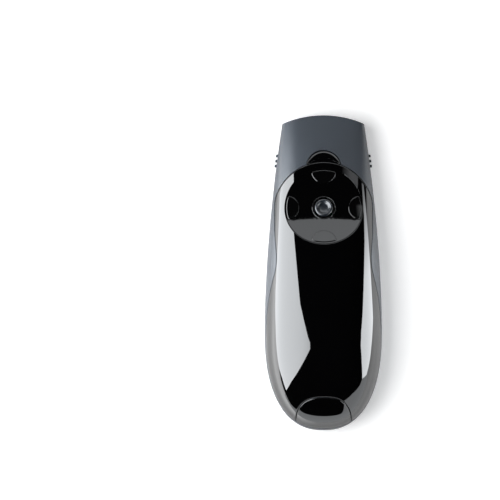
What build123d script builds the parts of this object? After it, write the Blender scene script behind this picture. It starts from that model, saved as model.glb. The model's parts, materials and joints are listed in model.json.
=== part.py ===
from build123d import *
import math
import os

# Wireless presentation clicker with a dished control pad, a thumb joystick and a stowed USB receiver.
#
# Frame: X across the clicker, +Y towards the nose, +Z up. The origin is on the ground below the
# middle of the clicker. All sizes are in millimetres. Each piece is written to parts/NODE.step.
#
# The body is one smooth form, lofted through upright sections along Y. Every section is a
# superellipse above the belt, the widest level, and a squarer one below it. body(inset) gives the
# same form drawn in by a wall, so each shell is the difference of two of them.
#
# The control pad is tilted, so its pieces are drawn in the deck's own frame: x across, y towards the
# nose, z along the press direction, with z = 0 on the body's skin at the middle of the dish.

# ---------------------------------------------------------------- overall form
LENGTH = 117.0
WIDTH = 43.6
HEIGHT = 29.0  # top of the palm hump
BELT_Z = 10.0  # widest level, where the two housings meet
WIDEST_Y = -22.0
HUMP_Y = -15.2
NOSE_TAPER = 7.1  # loss of half width from the widest place to the nose
NOSE_TAPER_POWER = 1.81
TAIL_POWER = 2.35  # superellipse powers of the plan, the hump and the belly
HUMP_POWER = 2.1
BELLY_POWER = 2.2
SHOULDER_POWER = 2.4  # of the sections above and below the belt
BILGE_POWER = 3.0
TAIL_CUT = 0.9985  # share of the tail's length where the loft ends in a tiny flat
BELLY_Z = -0.4  # bottom of the loft, before the ground flat is cut
BELLY_FRONT_Y = 14.0
BELLY_REAR_Y = -36.0
NOSE_RISE = 4.0  # rise of the belly at the nose
NOSE_R = 38.3  # plan radius of the nose's front face
DECK_TILT = 17.0  # slope of the crown line at the dish, in degrees
NOSE_TILT = 14.0  # and at the nose
HUMP_RUN = 40.0  # from the top of the hump to the middle of the dish

# ---------------------------------------------------------------- shells and seams
COVER_WALL = 1.4
LAP_GAP = 0.1  # between the cover and the housing under it
UPPER_WALL = 2.8
LOWER_WALL = 2.0
SEAM_GAP = 0.2
COVER_FRONT_R = 19.45
COVER_FRONT_SETBACK = 2.5
COVER_SIDE_HALF = 18.1  # half width of the round front where it turns back along the sides
COVER_SHOULDER_R = 10.0
TAIL_SEAM_Z = 14.0
FRONT_SEAM_Z = 15.8
WAIST_SEAM_Z = 21.3
WAIST_Y = 3.0

# ---------------------------------------------------------------- control pad, in the deck's frame
DISH_R = 14.3
DISH_DEPTH = 2.6
DISH_WALL = 1.4
DISH_LEDGE = 1.3  # width of the step that carries the insert
DISH_FIT = 0.1
KEY_R = 4.6
KEY_CENTRE = 13.7
KEY_RIM_R = 13.8
KEY_CORNER_R = 0.7
KEY_PROUD = 0.3
KEY_EDGE_R = 0.2  # rolled edge round a key's face
KEY_LIP = 0.8  # depth of the part of a key that overhangs the step
KEY_GAP = 0.12
KEY_FLANGE = 0.8
KEY_FLANGE_THICK = 0.7
KEY_TRAVEL = 0.5
KEY_STEM_R = 1.6
KEY_STEM_AT = 11.0
LASER_KEY_R = 6.5
LASER_KEY_CENTRE = 15.0
LASER_KEY_PROUD = 0.9
LASER_KEY_DOME = 24.0
LASER_KEY_MIDDLE = 19.4
LASER_KEY_EDGE_R = 0.3
LASER_SWITCH_AT = 19.2
BOARD_TOP = -9.0
BOARD_THICK = 1.0
BOARD_REAR = 16.0
BOARD_FRONT = 22.4
BOARD_HALF = 13.7
BOARD_NOSE_HALF = 11.0
SWITCH_SIDE = 4.5
SWITCH_TALL = 2.4
PLUNGER_R = 1.2
PLUNGER_PROUD = 0.9
PLUNGER_SUNK = 0.8
PLUNGER_FIT = 0.08
JOY_HOLE_R = 4.3
JOY_CAP_R = 3.4
JOY_CAP_PROUD = 1.0
JOY_CAP_TALL = 2.2
JOY_CAP_DIP = 0.9
JOY_DIP_R = 1.7
JOY_STEM_R = 1.2
JOY_PIVOT = -6.3
JOY_PIN_R = 0.45
JOY_PIN_FIT = 0.05
JOY_PRESS = 0.3
JOY_CAN_HALF = 4.7
JOY_CAN_WALL = 0.5
JOY_CAN_TALL = 3.8
JOY_FRAME_WALL = 0.9
JOY_FRAME_TALL = 1.8
JOY_RING_R = 2.85
JOY_RING_HOLE_R = 1.9
JOY_RING_TALL = 1.3
JOY_FOOT = 1.6  # reach of the stem below its pivot
JOY_DOME_R = 2.2
JOY_TILT_ROOM = 0.3  # room under the pressed stem for its tilted corner

# ---------------------------------------------------------------- power and laser
CELL_R = 5.25
CELL_LENGTH = 44.5
CELL_X = 5.6
CELL_Z = 7.2
BAY_HALF = 11.9
BAY_FRONT_Y = 19.2
BAY_REAR_Y = -30.4
BAY_WALL = 1.0
DOOR_GAP = 0.2
DOOR_THICK = 1.6
DOOR_HALF = 12.3
DOOR_FRONT_Y = 22.0
DOOR_REAR_Y = -31.6
DOOR_CORNER_R = 2.0
HOOK_X = 7.0
HOOK_WIDTH = 4.0
HOOK_REACH = 1.8
HOOK_THICK = 0.7
HOOK_ROOT = 1.0
HOOK_FIT = 0.25
HOOK_SWING = 0.8  # room over a hook while the door tips
CATCH_HALF = 4.0
CATCH_LENGTH = 7.0
CATCH_SLOT = 0.6
CONTACT_THICK = 0.4
SPRING_R = 2.4
SPRING_WIRE_R = 0.3
SPRING_TURNS = 3
NUB_R = 1.9
NUB_TALL = 1.0
BAY_TOP_Z = 12.6
ROOF_THICK = 1.0
LASER_Z = 7.8
BARREL_R = 2.5
BARREL_BORE_R = 1.6
BARREL_LENGTH = 10.0
BARREL_FRONT_Y = 55.6
BARREL_FIT = 0.05
WINDOW_R = 1.9
WINDOW_THICK = 0.8
APERTURE_R = 1.3

# ---------------------------------------------------------------- receiver
ARCH_HALF = 10.2
ARCH_TOP_Y = -46.0
ARCH_FOOT_Y = -56.0
ARCH_POWER = 2.6
ARCH_GAP = 0.15
RECEIVER_HALF = 8.4
RECEIVER_LOW = 14.4
RECEIVER_HIGH = 19.4
RECEIVER_REAR_Y = -50.0
RECEIVER_FRONT_Y = -27.5
RECEIVER_WALL = 0.8
RECEIVER_EDGE_R = 0.7
PLUG_WIDTH = 12.0
PLUG_TALL = 4.5
PLUG_LENGTH = 18.5
PLUG_WALL = 0.3
PLUG_HOLE = 2.3
TONGUE_WIDTH = 11.0
TONGUE_TALL = 1.9
PIN_COUNT = 4
PIN_PITCH = 2.25
PIN_WIDTH = 1.0
DOCK_FIT = 0.3
DOCK_WALL = 1.0
DOCK_REAR_Y = -42.5
THUMB_Y = -50.0
THUMB_HALF = 8.3
THUMB_REACH = 2.8
THUMB_DEPTH = 0.7

# ---------------------------------------------------------------- fasteners and ribs
FRONT_BOSS = (10.5, 50.0)
REAR_BOSS = (13.0, -37.0)
BOSS_R = 2.6
SCREW_R = 1.0
SCREW_FIT = 0.1
SCREW_HEAD_R = 2.0
SCREW_HEAD_TALL = 1.3
SCREW_TOP_Z = 12.9
FRONT_SEAT_Z = 5.2
REAR_SEAT_Z = 3.0
BOARD_BOSS = (11.4, 12.8)
BOARD_BOSS_R = 1.9
BOARD_SCREW_R = 0.7
BOARD_HEAD_R = 1.4
BOARD_HEAD_TALL = 0.8
BOARD_SCREW_REACH = 3.0
RIB_PROUD = 0.7
RIB_WIDTH = 1.0
RIB_PITCH = 1.88
RIB_FRONT_Y = 43.5
RIB_COUNT = 3
RIB_LOW_Z = 4.6
BELT_GAP = 0.2

BIG = 90.0  # larger than the clicker, for cutting tools


# ================================================================ the body's form
def superellipse(share, power):
    """Height of a unit superellipse at a share of its half length."""
    return max(0.0, 1.0 - abs(share) ** power) ** (1.0 / power)


def half_width(y, inset=0.0):
    """Half the plan width at y, on the belt."""
    if y >= WIDEST_Y:
        share = (y - WIDEST_Y) / (LENGTH / 2 - WIDEST_Y)
        return WIDTH / 2 - inset - NOSE_TAPER * share**NOSE_TAPER_POWER
    share = (WIDEST_Y - y) / (tail_run(WIDEST_Y, inset))
    return (WIDTH / 2 - inset) * superellipse(share, TAIL_POWER)


def tail_run(start_y, inset):
    """Length of a tail curve that starts at start_y and ends at the clicker's end."""
    return (start_y + LENGTH / 2 - inset) / TAIL_CUT


def crown_z(y, inset=0.0):
    """Height of the crown line: a hump that falls away to the tilted deck and the nose."""
    if y < HUMP_Y:
        share = (HUMP_Y - y) / tail_run(HUMP_Y, inset)
        return BELT_Z + (HEIGHT - BELT_Z - inset) * superellipse(share, HUMP_POWER)
    deck_slope = math.tan(math.radians(DECK_TILT))
    ahead = y - HUMP_Y
    if ahead <= HUMP_RUN:
        return HEIGHT - inset - deck_slope * ahead**2 / (2 * HUMP_RUN)
    past_dish = ahead - HUMP_RUN
    nose_run = LENGTH / 2 - DISH_Y
    easing = (deck_slope - math.tan(math.radians(NOSE_TILT))) / (2 * nose_run)
    return DISH_Z - inset - deck_slope * past_dish + easing * past_dish**2


def belly_z(y, inset=0.0):
    """Height of the keel line: flat in the middle, rising at the nose and the tail."""
    if y > BELLY_FRONT_Y:
        share = (y - BELLY_FRONT_Y) / (LENGTH / 2 - BELLY_FRONT_Y)
        return BELLY_Z + inset + NOSE_RISE * share**2
    if y > BELLY_REAR_Y:
        return BELLY_Z + inset
    share = (BELLY_REAR_Y - y) / tail_run(BELLY_REAR_Y, inset)
    return BELT_Z - (BELT_Z - BELLY_Z - inset) * superellipse(share, BELLY_POWER)


def skin_z(x, y):
    """Height of the body's upper skin at a place in plan."""
    rise = crown_z(y) - BELT_Z
    return BELT_Z + rise * superellipse(x / half_width(y), SHOULDER_POWER)


DISH_Y = HUMP_Y + HUMP_RUN
DISH_Z = HEIGHT - math.tan(math.radians(DECK_TILT)) * HUMP_RUN / 2
PRESS_UP = Vector(0, math.sin(math.radians(DECK_TILT)), math.cos(math.radians(DECK_TILT)))
DECK = Plane(origin=(0, DISH_Y, DISH_Z), x_dir=(1, 0, 0), z_dir=PRESS_UP).location


def section(y, inset):
    """One upright section of the body, as a right and a left curve that meet on the middle plane."""
    steps = 6
    half, top, low = half_width(y, inset), crown_z(y, inset), belly_z(y, inset)

    def arc(side):
        points = []
        for step in range(-steps, steps + 1):
            rise, power = (low - BELT_Z, BILGE_POWER) if step > 0 else (top - BELT_Z, SHOULDER_POWER)
            angle = abs(step) * math.pi / 2 / steps
            across, up = math.cos(angle) ** (2 / power), math.sin(angle) ** (2 / power)
            points.append((side * half * abs(across), y, BELT_Z + rise * up))
        return points

    right = Spline(*arc(1), tangents=[(1, 0, 0), (-1, 0, 0)])
    left = Spline(*reversed(arc(-1)), tangents=[(-1, 0, 0), (1, 0, 0)])
    return Wire([right, left])


def body(inset=0.0):
    """The body's form, drawn in by inset, longer at the nose than the clicker."""
    front = [LENGTH / 2 + 3.5, 52, 40, 28, 16, 4, -8, WIDEST_Y]
    shares = (0.25, 0.47, 0.66, 0.80, 0.90, 0.96, 0.99, TAIL_CUT)
    rear = [WIDEST_Y - share * tail_run(WIDEST_Y, inset) for share in shares]
    return Solid.make_loft([section(y, inset) for y in front + rear])


def nose_limit(inset=0.0):
    """Everything behind the nose's curved front face."""
    radius = NOSE_R - inset
    centre_y = LENGTH / 2 - NOSE_R
    drum = Pos(0, centre_y, 0) * Cylinder(radius, BIG)
    return drum + Pos(0, centre_y - BIG, 0) * Box(BIG, 2 * BIG, BIG)


def slab(z_low, z_high):
    """Everything between two levels."""
    return Pos(0, 0, (z_low + z_high) / 2) * Box(2 * BIG, 2 * BIG, z_high - z_low)


def block(x_low, x_high, y_low, y_high, z_low, z_high):
    """A box given by its six sides."""
    centre = ((x_low + x_high) / 2, (y_low + y_high) / 2, (z_low + z_high) / 2)
    return Pos(*centre) * Box(x_high - x_low, y_high - y_low, z_high - z_low)


def post(x, y, z_low, z_high, radius):
    """An upright cylinder between two levels."""
    return Pos(x, y, (z_low + z_high) / 2) * Cylinder(radius, z_high - z_low)


def both_sides(shape):
    """A shape and its mirror image across the middle plane."""
    return shape + mirror(shape, about=Plane.YZ)


# ================================================================ seams
def front_outline(gap=0.0):
    """Plan of the cover's front in the deck's frame: a disc that turns back along the sides."""
    disc = Pos(0, -COVER_FRONT_SETBACK) * Circle(COVER_FRONT_R + gap)
    half = COVER_SIDE_HALF + gap
    plan = disc & Rectangle(2 * half, 2 * BIG)
    plan &= Pos(0, BIG - COVER_SIDE_HALF) * Rectangle(2 * BIG, 2 * BIG)
    shoulders = plan.vertices().group_by(Axis.Y)[-1]
    return fillet(shoulders, COVER_SHOULDER_R)


def cover_zone(gap=0.0):
    """The space of the glossy cover: a round front, and a wavy lower edge along the sides."""
    front = DECK * extrude(front_outline(gap), BIG / 2, both=True)
    behind = DECK * Pos(0, -COVER_SIDE_HALF / 2 - BIG / 2, 0) * Box(BIG, BIG, BIG)
    seam = Spline(
        (0, LENGTH / 2 + 4, FRONT_SEAM_Z - 4.2 - gap),
        (0, DISH_Y + 12, FRONT_SEAM_Z - 3.2 - gap),
        (0, DISH_Y - 2.5, FRONT_SEAM_Z - gap),
        (0, WAIST_Y + 9, 19.2 - gap),
        (0, WAIST_Y, WAIST_SEAM_Z - gap),
        (0, WAIST_Y - 10, 19.0 - gap),
        (0, WIDEST_Y - 4, TAIL_SEAM_Z + 0.6 - gap),
        (0, WIDEST_Y - 14, TAIL_SEAM_Z - gap),
        tangents=[(0, -1, 0), (0, -1, 0)],
    )
    start, end = seam @ 0, seam @ 1
    tail = (0, -LENGTH / 2 - 4, end.Z)
    lid = Polyline(tuple(end), tail, (0, tail[1], BIG / 2), (0, start.Y, BIG / 2), tuple(start))
    side = Face(Wire([seam, *lid.edges()]))
    return (front + behind) & extrude(side, BIG / 2, dir=(1, 0, 0), both=True)


def receiver_arch(gap=0.0):
    """The arched space of the receiver's cap in plan, open to the tail."""
    half = ARCH_HALF + gap
    rise = ARCH_TOP_Y + gap - ARCH_FOOT_Y
    points = []
    for step in range(9):
        angle = math.pi * step / 8
        across = math.copysign(abs(math.cos(angle)) ** (2 / ARCH_POWER), math.cos(angle))
        up = abs(math.sin(angle)) ** (2 / ARCH_POWER)
        points.append((half * across, ARCH_FOOT_Y + rise * up, 0))
    arch = Spline(*points, tangents=[(0, 1, 0), (0, -1, 0)])
    foot = Polyline((-half, ARCH_FOOT_Y), (-half, -BIG), (half, -BIG), (half, ARCH_FOOT_Y))
    plan = Face(Wire([arch, *foot.edges()]))
    return Pos(0, 0, TAIL_SEAM_Z - gap) * extrude(plan, BIG / 2)


# ================================================================ the dish, in the deck's frame
def skin_height(x, y):
    """Height of the body's skin over a place of the deck's frame."""
    tilt = math.radians(DECK_TILT)
    height = 0.0
    for _ in range(25):
        plan_y = DISH_Y + y * math.cos(tilt) + height * math.sin(tilt)
        height = (skin_z(x, plan_y) - DISH_Z + y * math.sin(tilt)) / math.cos(tilt)
    return height


def dish_height(x, y):
    """Height of the dish: the body's skin, sunk by a parabola that is zero at the rim."""
    return skin_height(x, y) - DISH_DEPTH * (1 - (x * x + y * y) / DISH_R**2)


def over_dish(lift=0.0, reach=DISH_R + 1.0):
    """Everything above the dish's surface, moved up by lift."""
    count = 16
    places = [reach * (2 * step / count - 1) for step in range(count + 1)]
    grid = [[Vector(x, y, dish_height(x, y) + lift) for y in places] for x in places]
    face = Face.make_surface_from_array_of_points(grid, tol=0.005)
    return extrude(face, 25, dir=(0, 0, 1))


def key_outline(angle, grow=0.0, corner=KEY_CORNER_R):
    """Plan of a dish key: a disc on the rim, trimmed by the rim."""
    turn = math.radians(angle)
    place = Pos(KEY_CENTRE * math.cos(turn), KEY_CENTRE * math.sin(turn))
    plan = (place * Circle(KEY_R + grow)) & Circle(KEY_RIM_R + grow)
    return fillet(plan.vertices(), corner) if corner else plan


# ================================================================ shells
def board_spots():
    """The four places of the board's screws, in the deck's frame."""
    across, along = BOARD_BOSS
    return [(x, y) for x in (-across, across) for y in (-along, along)]


def board_posts(low, high, radius):
    """Four posts at the board's screws, between two levels of the deck's frame."""
    return [DECK * post(x, y, low, high, radius) for x, y in board_spots()]


def make_cover():
    """The glossy cover: a curved shell with the dish's round hole and the receiver's arch."""
    cover = (body() & cover_zone()) - body(COVER_WALL)
    cover -= DECK * Cylinder(DISH_R + DISH_FIT, 40)
    return cover - receiver_arch(ARCH_GAP)


def make_upper():
    """The grey housing: nose deck, side bands, and the recessed skin that carries the cover."""
    inside = body(UPPER_WALL) & nose_limit(UPPER_WALL)
    shell = (body() & nose_limit() & slab(BELT_Z + BELT_GAP, BIG)) - inside
    shell -= cover_zone(SEAM_GAP) - body(COVER_WALL + LAP_GAP)
    seat = over_dish(-DISH_WALL - DISH_FIT) & Cylinder(DISH_R + DISH_FIT, 40)
    shell -= DECK * seat
    shell -= DECK * Cylinder(DISH_R - DISH_LEDGE, 14)
    shell -= DECK * extrude(laser_outline(KEY_GAP), 7, both=True)

    solid = body(UPPER_WALL - 0.5) & nose_limit(UPPER_WALL - 0.5)
    for boss in board_posts(BOARD_TOP, BOARD_TOP + 20, BOARD_BOSS_R):
        shell += boss & solid
    for x, y in screw_spots():
        shell += post(x, y, BELT_Z, HEIGHT, BOSS_R) & solid
    tail_floor = block(-BIG, BIG, -BIG, DOCK_REAR_Y - 1, BELT_Z + 2.4, TAIL_SEAM_Z - SEAM_GAP)
    shell += tail_floor & solid
    for bore in board_posts(BOARD_TOP, BOARD_TOP + 2 * BOARD_SCREW_REACH, BOARD_SCREW_R + SCREW_FIT):
        shell -= bore
    for x, y in screw_spots():
        shell -= post(x, y, 0, SCREW_TOP_Z + SCREW_FIT, SCREW_R + SCREW_FIT / 2)
    shell -= receiver_arch(ARCH_GAP)
    return shell - receiver_space(-BIG, RECEIVER_FRONT_Y)


def screw_spots():
    """The four places of the housing screws."""
    return [(side * x, y) for x, y in (FRONT_BOSS, REAR_BOSS) for side in (-1, 1)]


def screw_seat(y):
    """Level of the shoulder under a housing screw's head."""
    return FRONT_SEAT_Z if y > 0 else REAR_SEAT_Z


def receiver_space(y_low, y_high):
    """The straight tunnel that the receiver slides through."""
    half = RECEIVER_HALF + DOCK_FIT
    return block(-half, half, y_low, y_high, RECEIVER_LOW - DOCK_FIT, RECEIVER_HIGH + DOCK_FIT)


def make_lower():
    """The grey tray: outer shell, battery bay, screw posts, laser saddle and grip ribs."""
    outer = body() & nose_limit() & slab(0, BELT_Z)
    shell = outer - (body(LOWER_WALL) & nose_limit(LOWER_WALL))
    solid = body(LOWER_WALL - 0.5) & nose_limit(LOWER_WALL - 0.5)

    for x, y in screw_spots():
        shell += post(x, y, 0, BELT_Z, BOSS_R) & solid
    half, front, rear = BAY_HALF + BAY_WALL, BAY_FRONT_Y + BAY_WALL, BAY_REAR_Y - BAY_WALL
    bay = block(-half, half, rear, front, 0.5, BAY_TOP_Z)
    bay -= block(-BAY_HALF, BAY_HALF, BAY_REAR_Y, BAY_FRONT_Y, -1, BIG)
    shell += bay & solid
    saddle = block(-3.6, 3.6, BARREL_FRONT_Y - 3.2, BARREL_FRONT_Y - 1.6, 0.5, LASER_Z)
    saddle += Pos(0, 4.0 - BARREL_LENGTH, 0) * saddle
    shell += (saddle & solid) - along_y(0, LASER_Z, 0, BIG, BARREL_R + BARREL_FIT)

    for x, y in screw_spots():
        shell -= post(x, y, -1, BIG, SCREW_R + SCREW_FIT)
        shell -= post(x, y, -1, screw_seat(y), SCREW_HEAD_R + SCREW_FIT)
    shell -= door_plan(DOOR_GAP, DOOR_THICK + 0.15)
    for side in (-1, 1):
        shell -= door_hook(side, HOOK_FIT) + Pos(0, 0, HOOK_SWING) * door_hook(side, HOOK_FIT)
    shell -= block(-BAY_HALF, BAY_HALF, BAY_REAR_Y, BAY_FRONT_Y, -1, BELT_Z)
    shell -= along_y(0, LASER_Z, 50, BIG, APERTURE_R)
    face_y = LENGTH / 2
    shell -= along_y(0, LASER_Z, face_y - WINDOW_THICK - SEAM_GAP, BIG, WINDOW_R + LAP_GAP)

    swollen = body(-RIB_PROUD) - body(0.3)
    for index in range(RIB_COUNT):
        middle = RIB_FRONT_Y - index * RIB_PITCH
        rib = block(10, BIG, middle - RIB_WIDTH / 2, middle + RIB_WIDTH / 2, RIB_LOW_Z, BELT_Z)
        shell += both_sides(swollen & rib)
    return shell


def along_y(x, z, y_low, y_high, radius):
    """A round bar along Y."""
    return Pos(x, (y_low + y_high) / 2, z) * Rot(90, 0, 0) * Cylinder(radius, y_high - y_low)


# ================================================================ battery door and bay
def door_plan(grow=0.0, top_z=DOOR_THICK):
    """The door's upright prism, with rounded corners in plan."""
    plan = RectangleRounded(
        2 * (DOOR_HALF + grow), DOOR_FRONT_Y - DOOR_REAR_Y + 2 * grow, DOOR_CORNER_R + grow
    )
    return Pos(0, (DOOR_FRONT_Y + DOOR_REAR_Y) / 2, -1) * extrude(plan, top_z + 1)


def door_hook(side, grow=0.0):
    """A flat hook at the door's tail end, which reaches in over the tray's floor."""
    half = HOOK_WIDTH / 2 + grow
    low = LOWER_WALL + HOOK_FIT - grow
    x = side * HOOK_X
    reach = block(
        x - half, x + half,
        DOOR_REAR_Y - HOOK_REACH - grow, DOOR_REAR_Y + HOOK_ROOT + grow,
        low, LOWER_WALL + HOOK_FIT + HOOK_THICK + grow,
    )
    root_end = DOOR_REAR_Y + HOOK_ROOT + grow
    root = block(x - half, x + half, DOOR_REAR_Y, root_end, DOOR_THICK - 0.4, low + 0.2)
    return reach + root


def make_door():
    """The battery door: flush with the underside, with two hooks and a springy catch."""
    door = door_plan() & body() & slab(0, DOOR_THICK)
    for side in (-1, 1):
        door += door_hook(side)
        slot_x = side * (CATCH_HALF + CATCH_SLOT / 2)
        slot_y = DOOR_FRONT_Y - CATCH_LENGTH
        door -= block(slot_x - CATCH_SLOT / 2, slot_x + CATCH_SLOT / 2, slot_y, BIG, -1, 5)
    notch = Pos(0, DOOR_FRONT_Y - 2.2, -1.4) * Rot(0, 90, 0) * Cylinder(2.2, 6)
    return door - notch


def make_cell():
    """One AAA cell along +Y, with its positive nub at the +Y end, centred on its length."""
    barrel = CELL_LENGTH - NUB_TALL
    can = Pos(0, -NUB_TALL / 2, 0) * Rot(90, 0, 0) * Cylinder(CELL_R, barrel)
    can = fillet(can.edges(), 0.4)
    return can + along_y(0, 0, CELL_LENGTH / 2 - NUB_TALL - 0.5, CELL_LENGTH / 2, NUB_R)


def make_spring():
    """A tapered coil along +Y that starts at its wide end, where it meets a contact plate."""
    gap = BAY_FRONT_Y - BAY_REAR_Y - 2 * CONTACT_THICK - CELL_LENGTH
    rise = gap - 2 * SPRING_WIRE_R - 0.1
    path = Helix(rise / SPRING_TURNS, rise, SPRING_R, cone_angle=-8)
    profile = Plane(origin=path @ 0, z_dir=path % 0) * RegularPolygon(SPRING_WIRE_R, 6)
    coil = sweep(profile, path, is_frenet=True)
    return Rot(-90, 0, 0) * Pos(0, 0, SPRING_WIRE_R + 0.05) * coil


def contact_plate(x_low, x_high, y_low):
    """A thin upright contact plate across one end of the bay."""
    plate = block(x_low, x_high, y_low, y_low + CONTACT_THICK, CELL_Z - 3.2, CELL_Z + 4.0)
    return fillet(plate.edges().filter_by(Axis.Y), 0.8)


def make_power():
    """Two AAA cells side by side, head to tail, with their plates and coils."""
    front = BAY_FRONT_Y - CONTACT_THICK
    rear = BAY_REAR_Y + CONTACT_THICK
    half = CELL_LENGTH / 2
    coil = make_spring()
    return {
        "battery_left": Pos(-CELL_X, front - half, CELL_Z) * make_cell(),
        "battery_right": Pos(CELL_X, rear + half, CELL_Z) * Rot(0, 0, 180) * make_cell(),
        "positive_contact": contact_plate(-CELL_X - 4.2, -CELL_X + 4.2, front),
        "negative_contact": contact_plate(CELL_X - 4.2, CELL_X + 4.2, front),
        "bridge_contact": contact_plate(-CELL_X - 4.2, CELL_X + 4.2, BAY_REAR_Y),
        "front_spring": Pos(CELL_X, front, CELL_Z) * Rot(0, 0, 180) * coil,
        "rear_spring": Pos(-CELL_X, rear, CELL_Z) * coil,
    }


def make_chassis():
    """The bay's roof, with the receiver's dock on top of it."""
    half, roof_z = BAY_HALF + BAY_WALL, BAY_TOP_Z + ROOF_THICK
    dock_half = RECEIVER_HALF + DOCK_FIT + DOCK_WALL
    dock_front = RECEIVER_FRONT_Y + PLUG_LENGTH + DOCK_FIT
    roof = block(-half, half, BAY_REAR_Y - BAY_WALL, BAY_FRONT_Y + BAY_WALL, BAY_TOP_Z, roof_z)
    floor_z = RECEIVER_LOW - DOCK_FIT
    dock = block(
        -dock_half, dock_half, DOCK_REAR_Y, dock_front + DOCK_WALL, BAY_TOP_Z, RECEIVER_HIGH - 0.4
    )
    dock -= block(
        -dock_half + DOCK_WALL, dock_half - DOCK_WALL, DOCK_REAR_Y - 1, dock_front, floor_z, BIG
    )
    return roof + dock


# ================================================================ control pad
def dish_layer(low, high, radius=DISH_R):
    """The curved slab between two lifts of the dish's surface, inside a circle."""
    return (over_dish(low) & Cylinder(radius, 40)) - over_dish(high)


def make_dish():
    """The dished insert, with four half-moon holes and the joystick's round one."""
    dish = dish_layer(-DISH_WALL, 0)
    for angle in KEYS.values():
        dish -= extrude(key_outline(angle, KEY_GAP), 20, both=True)
    return DECK * (dish - Cylinder(JOY_HOLE_R, 40))


def flange_top(angle):
    """Level of a key's flange, under the lowest place of the insert that it reaches."""
    turn = math.radians(angle)
    inner, outer = KEY_CENTRE - KEY_R - KEY_FLANGE, DISH_R - DISH_LEDGE
    radii = (inner, KEY_CENTRE - KEY_R, outer)
    lows = [dish_height(r * math.cos(turn), r * math.sin(turn)) for r in radii]
    side = KEY_R + KEY_FLANGE
    out = math.sqrt(outer**2 - side**2)
    corner = dish_height(
        out * math.cos(turn) - side * math.sin(turn), out * math.sin(turn) + side * math.cos(turn)
    )
    return min(*lows, corner) - DISH_WALL - KEY_GAP


def make_key(angle, cap_layer):
    """A half-moon key: a dished cap, a flange under the insert and a stem to its switch."""
    turn = math.radians(angle)
    inside = Circle(DISH_R - DISH_LEDGE - KEY_GAP)
    top = flange_top(angle)
    plan = key_outline(angle)
    cap = extrude(plan, 20, both=True) & cap_layer
    cap = fillet(cap.faces().sort_by(Axis.Z)[-1].edges(), KEY_EDGE_R)
    neck = Pos(0, 0, top - 0.1) * extrude(plan & inside, 8)
    neck -= over_dish(-KEY_LIP + 0.1)
    flange = Pos(0, 0, top - KEY_FLANGE_THICK) * extrude(
        key_outline(angle, KEY_FLANGE, 0) & inside, KEY_FLANGE_THICK
    )
    stem_low = BOARD_TOP + SWITCH_TALL + PLUNGER_PROUD
    stem = post(*switch_place(angle), stem_low, top - 0.1, KEY_STEM_R)
    return DECK * (cap + neck + flange + stem)


def switch_place(angle):
    """Where a dish key's switch stands in the deck's frame."""
    turn = math.radians(angle)
    return KEY_STEM_AT * math.cos(turn), KEY_STEM_AT * math.sin(turn)


def laser_outline(grow=0.0):
    """Plan of the laser button: a disc trimmed by the cover's round front."""
    disc = Pos(0, LASER_KEY_CENTRE) * Circle(LASER_KEY_R + grow)
    trim = Pos(0, -COVER_FRONT_SETBACK) * Circle(COVER_FRONT_R + SEAM_GAP - grow)
    crescent = disc - trim
    return fillet(crescent.vertices(), 0.3 + max(grow, 0) / 2)


def make_laser_button():
    """The domed crescent ahead of the dish, with its flange and stem."""
    reach = LASER_KEY_R + KEY_FLANGE
    top = skin_height(reach, LASER_KEY_MIDDLE) - UPPER_WALL - KEY_GAP
    peak = skin_height(0, LASER_KEY_MIDDLE) + LASER_KEY_PROUD
    dome = Pos(0, LASER_KEY_MIDDLE, peak - LASER_KEY_DOME) * Sphere(LASER_KEY_DOME)
    cap = Pos(0, 0, top - 0.1) * extrude(laser_outline(), 8) & dome
    cap = fillet(cap.faces().sort_by(Axis.Z)[-1].edges(), LASER_KEY_EDGE_R)
    flange = Pos(0, 0, top - KEY_FLANGE_THICK) * extrude(laser_outline(KEY_FLANGE), KEY_FLANGE_THICK)
    stem_low = BOARD_TOP + SWITCH_TALL + PLUNGER_PROUD
    stem = post(0, LASER_SWITCH_AT, stem_low, top - 0.1, KEY_STEM_R)
    return DECK * (cap + flange + stem)


def make_switch():
    """A tact switch's case on the board and its round plunger, at the deck's middle."""
    base, top = BOARD_TOP, BOARD_TOP + SWITCH_TALL
    side = SWITCH_SIDE / 2
    case = block(-side, side, -side, side, base, top)
    case = chamfer(case.edges().filter_by(Axis.Z), 0.5)
    bore_low = top - PLUNGER_SUNK - KEY_TRAVEL - 0.2
    case -= post(0, 0, bore_low, top + 1, PLUNGER_R + PLUNGER_FIT)
    plunger = post(0, 0, top - PLUNGER_SUNK, top + PLUNGER_PROUD, PLUNGER_R)
    return case, plunger


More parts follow.
